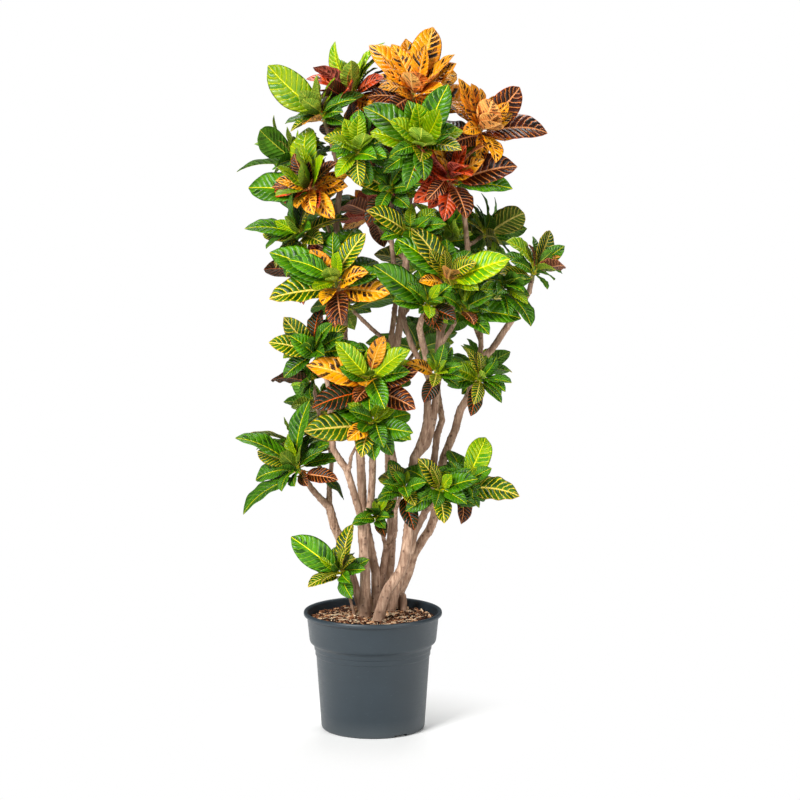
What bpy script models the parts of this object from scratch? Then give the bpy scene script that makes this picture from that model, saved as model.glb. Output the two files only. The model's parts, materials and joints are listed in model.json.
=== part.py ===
"""Potted croton: a many-stemmed, branched croton in a 27 cm nursery container.

The pot, the potting mix, each cane with its limbs and each leafy shoot is one
solid. Lengths in the tables are millimetres; the scene is in metres, +Z up,
with the pot's foot on z = 0 and its axis on the Z axis. -Y is the front.
"""
import math
import bpy
import bmesh
from mathutils import Vector
from mathutils.bvhtree import BVHTree

MM = 0.001

# Container: moulded nursery pot, turned about Z.
POT_SEGMENTS = 32
RIM_TOP = 233
RIM_RADIUS = 135.5
FLOOR_TOP = 6.5
SLOT_WIDTH = 30
SLOT_HEIGHT = 5
SLOT_HEADINGS = (-57, 63, 183)
SLOT_RADIUS = 95
DRAIN_HOLE_RADIUS = 4.5

# Potting mix: fills the pot, with a low mound and a socket for each cane.
MIX_CLEARANCE = 0.4
MIX_EDGE_TOP = 219
MIX_MOUND_TOP = 226
ROOT_DEPTH = 160
SOCKET_CLEARANCE = 0.35

# Where a shoot meets the cut end of its limb.
SEAT_GAP = 0.3
SHOOT_SIDES = 5
LEAF_LEVEL = 5.5
BUD_HEIGHT = 9

# Leaf: half width over length, the blade's thickness at the midrib, and the
# stations along the midrib as (share of length, share of half width).
LEAF_SLENDERNESS = 0.22
LEAF_THICKNESS = 1.4
LEAF_STATIONS = ((0.38, 0.95), (0.72, 0.88))
LEAF_FOLD = 0.22
LEAF_ARCH = 0.16
LEAF_GAP = 3
LOWEST_LEAF = 246
CLEAR_OF_SEAT = 0.03
# A blade turns its upper side up and out: away from the crown's middle, whose
# pull along X is halved because the crown is wider than it is deep.
CROWN_MIDDLE = (50, 45)
SIDE_PULL = 0.5
OUTWARD_SHARE = 0.83
UPWARD_SHARE = 0.55

# Each cane is a list of limbs, the trunk first. A limb is the points of its
# route as (x, y, z, radius), and the shoot that its end carries, if any.
CANES = {
    "front_cane": (
        (((-15, -15, 220, 12.5), (-15, -15, 310, 10), (-20, -20, 385, 9.3),
          (-20, -25, 410, 9), (-5, -30, 440, 7.5), (0, -50, 515, 7), (0, -70, 575, 6.5),
          (-5, -90, 630, 6), (-5, -110, 675, 5)), "shoot_centre_gold"),
        (((-20, -25, 410, 7), (-30, -35, 450, 7.5), (-50, -50, 520, 7.2),
          (-60, -55, 535, 7), (-75, -60, 560, 6.5), (-80, -65, 620, 6), (-80, -70, 670, 5.5),
          (-90, -80, 710, 5), (-100, -85, 735, 4.5)), "shoot_left_low"),
        (((-45, -50, 515, 4), (-40, -75, 550, 3.8), (-20, -105, 585, 3.5),
          (-5, -125, 610, 3.2)), "shoot_centre_drooping"),
    ),
    "dark_cane": (
        (((5, 30, 220, 9.5), (5, 35, 300, 9), (0, 35, 325, 9), (-10, 30, 375, 9),
          (-20, 20, 440, 8.8), (-25, 20, 550, 8.5), (-40, 20, 645, 8), (-55, 20, 740, 7.5),
          (-55, 20, 820, 7), (-65, 30, 915, 6.5), (-70, 30, 985, 6), (-60, 30, 1070, 5.5),
          (-45, 30, 1145, 5), (-40, 30, 1210, 4.5)), "shoot_crown_left"),
        (((-70, 30, 985, 4.5), (-85, 0, 1020, 4.5), (-105, -30, 1045, 4)), "shoot_left_red"),
        (((-60, 30, 1070, 4.5), (-75, 0, 1130, 4.5), (-90, -10, 1180, 4)), "shoot_left_high"),
        (((-70, 30, 985, 4.5), (-105, 50, 1040, 4.3), (-135, 50, 1090, 4)),
         "shoot_left_outer"),
        (((-55, 20, 780, 5.5), (-60, -30, 830, 5.2), (-65, -70, 865, 4.5)),
         "shoot_left_gold"),
        (((-65, 30, 915, 4.5), (-95, 10, 945, 4.3), (-120, -10, 960, 4)), "shoot_left_mid"),
        (((-60, 30, 1070, 4.5), (-40, -30, 1095, 4.2), (-30, -60, 1120, 4)),
         "shoot_centre_high"),
        (((-55, 20, 820, 4.5), (-85, 70, 850, 4.3), (-110, 110, 880, 4)), "shoot_back_left"),
        (((-65, 30, 915, 4.5), (-80, 80, 955, 4.3), (-95, 125, 990, 4)),
         "shoot_back_left_high"),
        (((-60, 30, 1070, 4.5), (-40, 80, 1105, 4.2), (-20, 115, 1135, 4)), "shoot_back_top"),
    ),
    "left_cane": (
        (((-20, 40, 220, 9), (-55, 30, 335, 9), (-65, 25, 370, 9), (-75, 20, 395, 9),
          (-85, 15, 435, 8.5), (-105, 10, 455, 6.5), (-120, 0, 475, 6), (-135, -10, 500, 5.5)),
         "shoot_low_left"),
        (((-85, 15, 435, 6), (-85, 30, 485, 5.2), (-80, 30, 535, 5), (-100, 30, 595, 4.6),
          (-110, 20, 645, 4.3), (-115, 15, 675, 4)), "shoot_left_inner"),
        (((-85, 30, 485, 4.5), (-110, 50, 515, 4.2), (-135, 60, 540, 4)),
         "shoot_low_left_back"),
        (((-80, 30, 535, 4.3), (-90, 80, 570, 4.2), (-100, 120, 600, 4)),
         "shoot_back_left_low"),
    ),
    "stump_cane": (
        (((10, 60, 215, 12.5), (10, 60, 260, 12), (15, 60, 305, 11.5)), None),
        (((10, 60, 260, 7), (20, 50, 310, 7), (25, 50, 340, 7), (35, 40, 375, 6.5),
          (40, 30, 435, 6.2), (45, 20, 505, 6), (30, 20, 585, 6), (25, 30, 665, 6),
          (35, 40, 760, 5.8), (45, 40, 840, 5.5), (40, 30, 915, 5.2), (35, 0, 985, 5),
          (35, -30, 1040, 4.5)), "shoot_centre_back"),
        (((25, 50, 340, 4.5), (40, 20, 365, 4.3), (45, -20, 400, 4), (45, -50, 440, 4),
          (55, -80, 475, 3.8)), "shoot_low_inner"),
        (((25, 50, 340, 4.3), (20, 0, 380, 4.2), (10, -30, 415, 4)), "shoot_low_small"),
    ),
    "right_front_cane": (
        (((10, -45, 222, 11.5), (30, -50, 285, 10.5), (55, -50, 320, 10), (65, -50, 365, 10),
          (70, -50, 405, 9.8), (75, -50, 460, 9.5), (80, -45, 540, 9.3), (90, -40, 560, 8),
          (105, -40, 610, 7.5), (105, -40, 660, 7.2), (110, -40, 690, 7), (100, -50, 750, 6.5),
          (90, -75, 795, 6), (100, -105, 830, 5)), "shoot_mid_centre"),
        (((110, -40, 690, 5.5), (75, 0, 755, 5.5), (55, 0, 835, 5.2), (65, -20, 900, 5),
          (70, -45, 960, 4.5)), "shoot_mid_left"),
        (((105, -40, 660, 4), (115, -70, 685, 4), (120, -90, 705, 3.8)),
         "shoot_centre_small"),
        (((80, -45, 540, 8), (105, -30, 565, 8), (120, -30, 635, 7.5), (125, -30, 695, 7.2),
          (130, -30, 755, 7), (135, -45, 825, 6.5), (140, -80, 870, 5)), "shoot_mid_gold"),
        (((135, -35, 790, 5.5), (160, -10, 840, 5.5), (185, 0, 880, 5.5), (185, 0, 920, 5.5),
          (180, -10, 965, 5.5), (175, -20, 1010, 5.3), (165, -40, 1040, 5),
          (155, -55, 1060, 4.5)), "shoot_coral"),
        (((180, -2, 945, 4.5), (195, 30, 950, 4.3), (210, 50, 960, 4)), "shoot_right_high"),
        (((135, -45, 825, 4.5), (130, 0, 880, 4.5), (135, 20, 920, 4.3), (135, 10, 945, 4)),
         "shoot_mid_upright"),
        (((130, -30, 755, 4.5), (150, -60, 790, 4.3), (165, -80, 820, 4)),
         "shoot_mid_right"),
    ),
    "right_cane": (
        (((45, 86, 221, 9.5), (52, 86, 250, 9.5), (70, 80, 290, 9), (80, 70, 330, 9),
          (100, 60, 365, 9), (120, 50, 405, 8.8), (135, 30, 515, 8.3), (140, 30, 535, 8.3),
          (160, 20, 585, 8.1), (170, 20, 625, 8), (190, 10, 660, 8), (200, 10, 700, 7.8),
          (205, 10, 720, 7.5), (230, 0, 745, 6.8), (255, -10, 785, 6.4), (275, -20, 815, 6),
          (300, -30, 860, 5.3), (305, -35, 885, 4.8)), "shoot_right_tip"),
        (((270, -20, 810, 4), (260, -50, 840, 4), (250, -65, 860, 3.8)),
         "shoot_right_lower"),
        (((205, 10, 720, 5.5), (210, 30, 745, 5.5), (210, 40, 785, 5), (215, 50, 835, 4.8),
          (220, 50, 885, 4.3)), "shoot_right_inner"),
        (((210, 35, 755, 4), (200, 70, 780, 4), (185, 100, 810, 4)), "shoot_right_back"),
        (((180, 15, 645, 4), (190, -20, 665, 4), (200, -45, 685, 3.8)), "shoot_right_low"),
        (((125, 45, 435, 4.5), (140, 0, 455, 4.3), (165, -40, 480, 4)), "shoot_low_right"),
        (((170, 20, 625, 4.3), (185, 65, 650, 4.2), (200, 100, 675, 4)),
         "shoot_back_right_low"),
    ),
    "middle_cane": (
        (((35, 30, 222, 8.5), (55, 30, 295, 8), (75, 20, 350, 7.5), (80, 20, 380, 7.5),
          (100, 15, 420, 7.3), (115, 0, 490, 7), (125, 5, 580, 6.8), (135, 15, 605, 6.3),
          (130, 30, 635, 6), (125, 60, 680, 5.8), (130, 90, 775, 5.6), (145, 100, 870, 5.4),
          (160, 90, 970, 5.2), (175, 60, 1050, 5), (190, 10, 1115, 4.8),
          (200, -20, 1150, 4.4)), "shoot_crown_right"),
        (((100, 15, 420, 5), (115, -50, 450, 4.8), (125, -100, 480, 4.4)),
         "shoot_low_centre"),
        (((145, 100, 870, 4.5), (180, 130, 905, 4.3), (210, 150, 935, 4)),
         "shoot_back_right"),
    ),
    "back_cane": (
        (((20, 88, 222, 9.5), (35, 92, 315, 9), (35, 100, 435, 8.8), (30, 100, 555, 8.5),
          (35, 100, 675, 8), (55, 95, 795, 7.5), (65, 85, 910, 7), (70, 50, 1010, 6.5),
          (75, 20, 1090, 6), (80, 10, 1150, 5.5), (80, -5, 1206, 5)), "shoot_crown_top"),
        (((75, 25, 1075, 4.5), (85, -30, 1100, 4.5), (90, -70, 1125, 4)),
         "shoot_crown_front"),
        (((30, 100, 555, 5), (10, 130, 590, 4.5), (-10, 155, 620, 4)), "shoot_back_low"),
        (((35, 100, 675, 5), (65, 140, 700, 4.5), (85, 170, 725, 4)),
         "shoot_back_low_right"),
        (((45, 97, 735, 5), (0, 130, 770, 4.5), (-40, 160, 805, 4)), "shoot_back_mid_left"),
        (((55, 95, 795, 5), (85, 135, 840, 4.5), (100, 170, 880, 4)),
         "shoot_back_mid_right"),
        (((65, 85, 910, 5), (30, 130, 950, 4.5), (5, 165, 985, 4)), "shoot_back_high"),
        (((70, 50, 1010, 4.8), (110, 95, 1050, 4.3), (130, 130, 1085, 4)),
         "shoot_back_high_right"),
    ),
    "young_sprout_stem": (
        (((-35, -2, 221, 3.8), (-45, -10, 260, 3.5), (-60, -15, 285, 3.2),
          (-60, -20, 300, 3)), "shoot_sprout"),
    ),
    "pruned_stub": (
        (((58, 50, 218, 9), (58, 50, 238, 8.7), (57, 49, 255, 8.5)), None),
    ),
}

# Each shoot: how many leaves, their usual length, and the leaves that are
# set by hand as (heading, rise, length), in degrees and millimetres from the
# limb's end. Heading 0 is +X and -90 is the front. The rest fill in round them.
SHOOTS = {
    "shoot_crown_top": (15, 135, (
        (170, 55, 150), (150, 70, 155), (100, 80, 140), (40, 75, 163), (10, 60, 170),
        (-5, 40, 170), (-125, 30, 70), (180, 25, 95))),
    "shoot_crown_left": (11, 115, (
        (180, 75, 130), (20, 80, 150), (0, 60, 110), (-160, 45, 110), (-160, 20, 90),
        (25, 40, 90))),
    "shoot_left_high": (9, 110, (
        (180, 45, 155), (180, 25, 115), (-130, 0, 75), (-75, 60, 60))),
    "shoot_left_outer": (9, 110, (
        (180, 80, 125), (150, 55, 90), (180, 35, 160), (185, 10, 130), (55, 50, 80))),
    "shoot_left_red": (10, 95, (
        (-145, 20, 90), (-130, 45, 90), (-50, 45, 90), (-35, 15, 75), (165, 5, 140),
        (115, 70, 140))),
    "shoot_centre_high": (8, 95, (
        (-120, 0, 70), (-65, 10, 90), (-75, 65, 110))),
    "shoot_centre_back": (9, 100, (
        (-165, 30, 120), (-60, 65, 90), (165, 55, 90), (-40, 20, 80))),
    "shoot_coral": (12, 115, (
        (-100, 70, 115), (45, 60, 120), (-150, 55, 125), (-10, 20, 130), (10, 30, 145),
        (-40, 30, 70), (-15, 0, 115))),
    "shoot_crown_right": (11, 115, (
        (-120, 75, 130), (-35, 60, 120), (5, 50, 130), (-5, 25, 145), (-50, 10, 80),
        (-65, 45, 80))),
    "shoot_crown_front": (11, 115, (
        (-40, 65, 145), (-105, 50, 80), (180, 40, 140), (125, 65, 110), (-10, 35, 80),
        (55, 65, 90))),
    "shoot_left_mid": (9, 110, (
        (-165, 20, 130), (-75, 65, 90), (-165, 45, 80), (45, 30, 90))),
    "shoot_left_gold": (16, 120, (
        (-175, 30, 150), (180, 50, 125), (-165, -5, 135), (155, 55, 115), (-35, 70, 130),
        (-30, 0, 115), (35, 30, 110), (65, 75, 150), (-95, -50, 85), (-45, -20, 75),
        (-110, -15, 80))),
    "shoot_left_low": (10, 105, (
        (-170, 50, 110), (-165, 20, 105), (85, 75, 100), (-40, 40, 80), (180, 35, 115))),
    "shoot_centre_gold": (16, 120, (
        (-165, 25, 135), (-140, 55, 125), (130, 60, 130), (50, 60, 110), (-30, 45, 125),
        (0, 70, 140), (-15, 25, 105), (-25, -15, 100), (-155, -10, 120), (-120, -5, 75))),
    "shoot_low_left": (10, 120, (
        (170, 40, 165), (0, 85, 150), (-155, -25, 145), (-45, 55, 80), (-30, 0, 80),
        (-65, -35, 70))),
    "shoot_low_left_back": (8, 100, (
        (160, -10, 100), (175, 15, 120), (145, 30, 80), (40, 30, 80))),
    "shoot_centre_drooping": (8, 100, (
        (-160, 0, 130), (-120, -10, 80), (-35, 0, 100), (-50, -20, 80))),
    "shoot_low_centre": (10, 95, (
        (-125, 60, 100), (-40, 40, 110), (-80, -35, 80), (-130, -30, 75), (150, 30, 90))),
    "shoot_low_right": (10, 105, (
        (35, 55, 120), (-15, 15, 130), (-20, -25, 115), (-65, -55, 80), (125, 45, 90))),
    "shoot_low_inner": (9, 85, (
        (-125, 70, 105), (-120, 10, 75), (-50, 25, 80), (-60, -50, 80), (150, 10, 95))),
    "shoot_low_small": (5, 65, (
        (-105, 30, 70), (-75, -20, 60), (65, 15, 70))),
    "shoot_sprout": (5, 80, (
        (180, 40, 130), (35, 75, 110), (-80, 65, 85), (-145, -5, 80), (0, 30, 70))),
    "shoot_mid_centre": (10, 90, (
        (-155, 40, 140), (-145, 50, 90), (-125, 25, 65), (-20, 45, 75), (-65, -25, 75))),
    "shoot_mid_gold": (14, 110, (
        (-165, 45, 135), (150, 60, 160), (-120, 55, 105), (-25, 25, 145), (-45, 20, 90),
        (55, 45, 110), (-140, 15, 70))),
    "shoot_right_high": (8, 96, (
        (-40, 35, 120), (45, 15, 110), (65, 45, 90), (-50, -30, 95))),
    "shoot_right_tip": (10, 90, (
        (-130, 45, 110), (45, 60, 105), (-105, 65, 75), (-45, 20, 90), (-145, 10, 80),
        (-55, 45, 80))),
    "shoot_right_lower": (6, 85, (
        (-55, -30, 105), (-115, 20, 80), (-70, 35, 90))),
    "shoot_mid_right": (9, 100, (
        (-45, -20, 85), (-30, 5, 125), (-95, -55, 85), (-65, -55, 110), (-125, 30, 85))),
    "shoot_right_back": (8, 95, ()),
    "shoot_right_low": (8, 80, (
        (-135, 25, 85), (-40, 5, 85), (-105, -60, 75), (60, 30, 70))),
    "shoot_centre_small": (6, 70, (
        (-150, 25, 70), (-75, 40, 60), (-115, -40, 70), (-20, 0, 60))),
    "shoot_mid_upright": (8, 100, (
        (-145, 70, 110), (90, 70, 100), (50, 45, 90))),
    "shoot_mid_left": (8, 91, (
        (-140, 30, 120), (120, 50, 90), (-45, 40, 70))),
    "shoot_left_inner": (8, 95, (
        (-140, 10, 105), (125, 45, 90), (55, 45, 90))),
    "shoot_right_inner": (8, 90, (
        (70, 45, 90), (45, 10, 100), (120, 15, 70))),
    "shoot_back_left": (9, 118, ()),
    "shoot_back_left_high": (10, 110, ()),
    "shoot_back_top": (10, 115, ()),
    "shoot_back_left_low": (10, 110, ()),
    "shoot_back_right_low": (9, 95, ()),
    "shoot_back_right": (10, 110, ()),
    "shoot_back_low": (10, 115, ()),
    "shoot_back_low_right": (10, 105, ()),
    "shoot_back_mid_left": (10, 115, ()),
    "shoot_back_mid_right": (10, 115, ()),
    "shoot_back_high": (10, 115, ()),
    "shoot_back_high_right": (10, 110, ()),
}

# The main colour of each shoot; the others are green.
GOLD_SHOOTS = ("shoot_crown_top", "shoot_crown_right", "shoot_left_gold",
               "shoot_centre_gold", "shoot_mid_gold")
RED_SHOOTS = ("shoot_left_red", "shoot_coral", "shoot_back_high", "shoot_back_left")

# Growth of the leaves that aren't set by hand.
GOLDEN_ANGLE = 137.5
OUTER_RISE = 5
INNER_RISE = 68
YOUNGEST_SHARE = 0.7
FILLER_SHARE = 0.9
FILLER_LENGTH = 0.82
FILLER_RISES = (-15, 25, 50, 5, -35, 40)
LEVEL_WEIGHT = 0.3
# Turns tried, in order, for a leaf that would touch something:
# (heading, rise, share of length).
NUDGES = (
    (0, 0, 1), (10, 0, 1), (-10, 0, 1), (0, 10, 1), (0, -10, 1), (18, 6, 1), (-18, 6, 1),
    (0, 18, 0.95), (0, -18, 0.95), (25, -8, 0.95), (-25, -8, 0.95), (32, 10, 0.9),
    (-32, 10, 0.9), (15, 25, 0.85), (-15, 25, 0.85), (45, 0, 0.85), (-45, 0, 0.85),
    (60, 15, 0.8), (-60, 15, 0.8), (0, 0, 0.75), (0, 30, 0.75), (75, 0, 0.7),
    (-75, 0, 0.7), (105, 20, 0.7), (-105, 20, 0.7), (140, 10, 0.7), (180, 30, 0.7),
    (20, -25, 0.7), (-20, -25, 0.7), (90, -15, 0.65), (-90, -15, 0.65), (0, 45, 0.6),
    (160, -20, 0.6), (50, 35, 0.6), (-50, 35, 0.6),
)


def clear_scene():
    for thing in list(bpy.data.objects):
        bpy.data.objects.remove(thing, do_unlink=True)


def new_collection(name, parent, rendered=True):
    made = bpy.data.collections.new(name)
    parent.children.link(made)
    made.hide_render = not rendered
    return made


def new_material(name, colour, roughness):
    made = bpy.data.materials.new(name)
    made.use_nodes = True
    shader = made.node_tree.nodes["Principled BSDF"]
    shader.inputs["Base Color"].default_value = (*colour, 1)
    shader.inputs["Roughness"].default_value = roughness
    shader.inputs["Metallic"].default_value = 0
    made.diffuse_color = (*colour, 1)
    return made


def link_mesh(name, mesh, collection, material=None):
    made = bpy.data.objects.new(name, mesh)
    collection.objects.link(made)
    if material:
        mesh.materials.append(material)
    return made


def flatten(thing):
    """Replaces an object's data by the mesh that its modifiers make."""
    graph = bpy.context.evaluated_depsgraph_get()
    mesh = bpy.data.meshes.new_from_object(thing.evaluated_get(graph))
    thing.modifiers.clear()
    thing.data = mesh
    return thing


def combine(target, tools, operation):
    """Runs an exact Boolean of each tool on the target and drops the tools."""
    for tool in tools:
        step = target.modifiers.new(operation.lower(), "BOOLEAN")
        step.operation = operation
        step.solver = "EXACT"
        step.object = tool
    bpy.context.view_layer.update()
    flatten(target)
    for tool in tools:
        bpy.data.objects.remove(tool, do_unlink=True)
    return target


def turned(name, profile, collection, material):
    """A solid turned about Z from a profile that starts and ends on the axis."""
    mesh = bpy.data.meshes.new(name)
    points = [(radius * MM, 0, height * MM) for radius, height in profile]
    mesh.from_pydata(points, [(i, i + 1) for i in range(len(points) - 1)], [])
    made = link_mesh(name, mesh, collection, material)
    screw = made.modifiers.new("turn", "SCREW")
    screw.steps = screw.render_steps = POT_SEGMENTS
    screw.use_merge_vertices = True
    screw.merge_threshold = 1e-5
    screw.use_smooth_shade = False
    flatten(made)
    shape = bmesh.new()
    shape.from_mesh(made.data)
    bmesh.ops.recalc_face_normals(shape, faces=shape.faces)
    shape.to_mesh(made.data)
    shape.free()
    return made


def smooth_route(points):
    """The route's points with one more between each pair, on a Catmull-Rom curve."""
    route = [Vector(point) for point in points]
    ends = [2 * route[0] - route[1]] + route + [2 * route[-1] - route[-2]]
    made = []
    for before, start, end, after in zip(ends, ends[1:], ends[2:], ends[3:]):
        middle = (9 * (start + end) - before - after) / 16
        made += [start, middle] if (end - start).xyz.length > 45 else [start]
    return made + [route[-1]]


def tube(name, points, collection, extra=0):
    """A cane's limb: a curve with a round bevel, its radius given at each point."""
    data = bpy.data.curves.new(name, "CURVE")
    data.dimensions = "3D"
    data.bevel_depth = MM
    data.bevel_resolution = 2 if points[0][3] > 8 else 1
    data.use_fill_caps = True
    spline = data.splines.new("POLY")
    spline.points.add(len(points) - 1)
    for place, point in zip(spline.points, points):
        place.co = (point[0] * MM, point[1] * MM, point[2] * MM, 1)
        place.radius = point[3] + extra
    made = bpy.data.objects.new(name, data)
    collection.objects.link(made)
    mesh = flatten_curve(made)
    return link_mesh(name, mesh, collection)


def flatten_curve(thing):
    """The mesh of a curve object, welded, facing out; the curve is dropped."""
    graph = bpy.context.evaluated_depsgraph_get()
    mesh = bpy.data.meshes.new_from_object(thing.evaluated_get(graph))
    bpy.data.objects.remove(thing, do_unlink=True)
    shape = bmesh.new()
    shape.from_mesh(mesh)
    bmesh.ops.remove_doubles(shape, verts=shape.verts, dist=1e-6)
    bmesh.ops.recalc_face_normals(shape, faces=shape.faces)
    shape.to_mesh(mesh)
    shape.free()
    return mesh


def rooted(points):
    """A trunk's route, carried straight down into the potting mix."""
    x, y, z, radius = points[0]
    return ((x, y, ROOT_DEPTH, radius), (x, y, (ROOT_DEPTH + z) / 2, radius)) + tuple(points)


def build_cane(name, limbs, collection, material):
    trunk = tube(name, smooth_route(rooted(limbs[0][0])), collection)
    branches = [tube("limb", smooth_route(route), collection) for route, _ in limbs[1:]]
    if branches:
        combine(trunk, branches, "UNION")
    trunk.data.materials.clear()
    trunk.data.materials.append(material)
    return trunk


def socket_cutter(limbs, collection):
    """The buried stretch of a cane, a little wider and deeper."""
    route = smooth_route(rooted(limbs[0][0]))
    route[0] = route[0] - Vector((0, 0, SOCKET_CLEARANCE, 0))
    above = [i for i, point in enumerate(route) if point[2] > MIX_MOUND_TOP + 5]
    return tube("socket", route[:above[0] + 1], collection, SOCKET_CLEARANCE)


def build_pot(collection, helpers, material):
    outside = (
        (0, 0), (30, 0), (34, 3.5), (84, 3.5), (88, 0), (97, 0), (100.3, 1.8), (101.5, 6),
        (111, 145), (112.6, 146.5), (112.8, 156), (114.6, 157.5), (115.2, 165),
        (118.5, 169), (122.5, 172), (124, 176), (129, 223), (132.5, 223.4), (135, 225),
        (RIM_RADIUS, 228.5), (134.5, 232), (132.5, RIM_TOP), (130, 232.4), (127.6, 230))
    inside = (
        (127, 226), (122, 176.4), (120.4, 174), (116.8, 171), (113.2, 166.4),
        (112.6, 159), (110.8, 157.6), (110.6, 148), (109, 145.6), (99.6, 10),
        (97, FLOOR_TOP), (0, FLOOR_TOP))
    pot = turned("nursery_pot", outside + inside, collection, material)
    cutters = []
    for heading in SLOT_HEADINGS:
        turn = math.radians(heading)
        bpy.ops.mesh.primitive_cube_add(size=1)
        slot = bpy.context.object
        slot.scale = (22 * MM, SLOT_WIDTH * MM, (SLOT_HEIGHT + 1) * MM)
        slot.rotation_euler.z = turn
        slot.location = (SLOT_RADIUS * MM * math.cos(turn), SLOT_RADIUS * MM * math.sin(turn),
                         (SLOT_HEIGHT - 1) / 2 * MM)
        cutters.append(slot)
        bpy.ops.mesh.primitive_cylinder_add(
            vertices=12, radius=DRAIN_HOLE_RADIUS * MM, depth=6 * MM,
            location=(90 * MM * math.cos(turn), 90 * MM * math.sin(turn), 6 * MM))
        cutters.append(bpy.context.object)
    for cutter in cutters:
        for owner in list(cutter.users_collection):
            owner.objects.unlink(cutter)
        helpers.objects.link(cutter)
        cutter.hide_render = True
        cutter.display_type = "WIRE"
    return combine(pot, cutters, "DIFFERENCE")


def build_mix(collection, material):
    """Potting mix: the pot's inside less a clearance, up to a low mound."""
    profile = (
        (0, FLOOR_TOP + MIX_CLEARANCE), (96.4, FLOOR_TOP + MIX_CLEARANCE), (108.6, 146),
        (110.2, 158.5),
        (112.6, 167), (121.4, 177), (126.2 - MIX_CLEARANCE, MIX_EDGE_TOP),
        (75, 223.6), (0, MIX_MOUND_TOP))
    mix = turned("potting_mix", profile, collection, material)
    cutters = [socket_cutter(limbs, collection) for limbs in CANES.values()]
    return combine(mix, cutters, "DIFFERENCE")


def aim(heading, rise):
    """The unit vector at a heading about Z and a rise above level, in degrees."""
    turn, lift = math.radians(heading), math.radians(rise)
    return Vector((math.cos(turn) * math.cos(lift), math.sin(turn) * math.cos(lift),
                   math.sin(lift)))


def facing_of(end):
    """The way the upper sides of a shoot's leaves turn, from where its limb ends."""
    outward = Vector(((end.x / MM - CROWN_MIDDLE[0]) * SIDE_PULL,
                      end.y / MM - CROWN_MIDDLE[1], 0)).normalized()
    return outward * OUTWARD_SHARE + Vector((0, 0, UPWARD_SHARE))


def leaf_frames(leaf, shares):
    """Points on the arched midrib at these shares, each with its across and up."""
    root, tip, facing, _ = leaf
    chord = tip - root
    across = chord.cross(facing)
    if across.length < 0.3 * chord.length:
        across = chord.cross(Vector((0, 0, 1)))
    across.normalize()
    arch = across.cross(chord).normalized() * chord.length * LEAF_ARCH
    crest = (root + tip) / 2 + arch
    made = []
    for share in shares:
        rest = 1 - share
        place = rest * rest * root + 2 * rest * share * crest + share * share * tip
        along = (rest * (crest - root) + share * (tip - crest)).normalized()
        made.append((place, across, across.cross(along)))
    return made


def leaf_rings(leaf, swell=0):
    """The two rings of a plain leaf: left edge, top, right edge, underside."""
    half = (leaf[1] - leaf[0]).length * LEAF_SLENDERNESS
    thick = LEAF_THICKNESS / 2 * MM + swell
    frames = leaf_frames(leaf, [share for share, _ in LEAF_STATIONS])
    rings = []
    for (place, across, up), (_, width) in zip(frames, LEAF_STATIONS):
        reach = half * width + swell
        lift = up * reach * LEAF_FOLD
        rings.append((place - across * reach + lift, place + up * thick,
                      place + across * reach + lift, place - up * thick))
    return rings


def loft_faces(rings):
    """Faces of a loft through this many rings of four points, then to one point."""
    faces = []
    for first in range(0, 4 * rings - 4, 4):
        for side in range(4):
            after = (side + 1) % 4
            faces.append((first + side, first + after, first + after + 4, first + side + 4))
    last = 4 * rings - 4
    return faces + [(last + side, last + (side + 1) % 4, last + 4) for side in range(4)]


def least_twist(corners, ring):
    """How far to turn the seat's corners so that they line up with the first ring."""
    return min(range(4), key=lambda shift: sum(
        (corners[(side + shift) % 4] - ring[side]).length for side in range(4)))


def whole_leaf(leaf, swell):
    """A leaf from its seat to its tip, swollen by this much, as points and faces."""
    root, tip, _, corners = leaf
    first, second = leaf_rings(leaf, swell)
    end = tip + (tip - root).normalized() * swell
    shift = least_twist(corners, first)
    return [*corners[shift:], *corners[:shift], *first, *second, end], loft_faces(3)


def near_leaf(leaf):
    """The exact leaf from just off its seat, where the stalks of a shoot come close."""
    points, faces = whole_leaf(leaf, 0)
    clear = [corner.lerp(ring, CLEAR_OF_SEAT) for corner, ring in zip(points, points[4:8])]
    return clear + points[4:], faces


def blade_only(leaf):
    """The swollen leaf without its stalk."""
    points, faces = whole_leaf(leaf, LEAF_GAP / 2 * MM)
    return [leaf_frames(leaf, (0.2,))[0][0]] * 4 + points[4:], faces


def tree_of(body):
    return BVHTree.FromPolygons(*body)


def obstacle(owner, whole, near, blade):
    """A placed shape: whose it is, its box, and the trees that others test."""
    low = [min(point[axis] for point in whole[0]) for axis in range(3)]
    high = [max(point[axis] for point in whole[0]) for axis in range(3)]
    return owner, low, high, tree_of(whole), tree_of(near), tree_of(blade)


def meets(new, placed):
    """Whether a new leaf meets a placed shape. In one shoot only blades keep the gap."""
    owner, low, high, whole, near, blade = new
    for other, other_low, other_high, other_whole, other_near, other_blade in placed:
        if any(low[axis] > other_high[axis] or high[axis] < other_low[axis]
               for axis in range(3)):
            continue
        if other != owner and whole.overlap(other_whole):
            return True
        if other == owner and (blade.overlap(other_blade) or near.overlap(other_near)):
            return True
    return False


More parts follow.
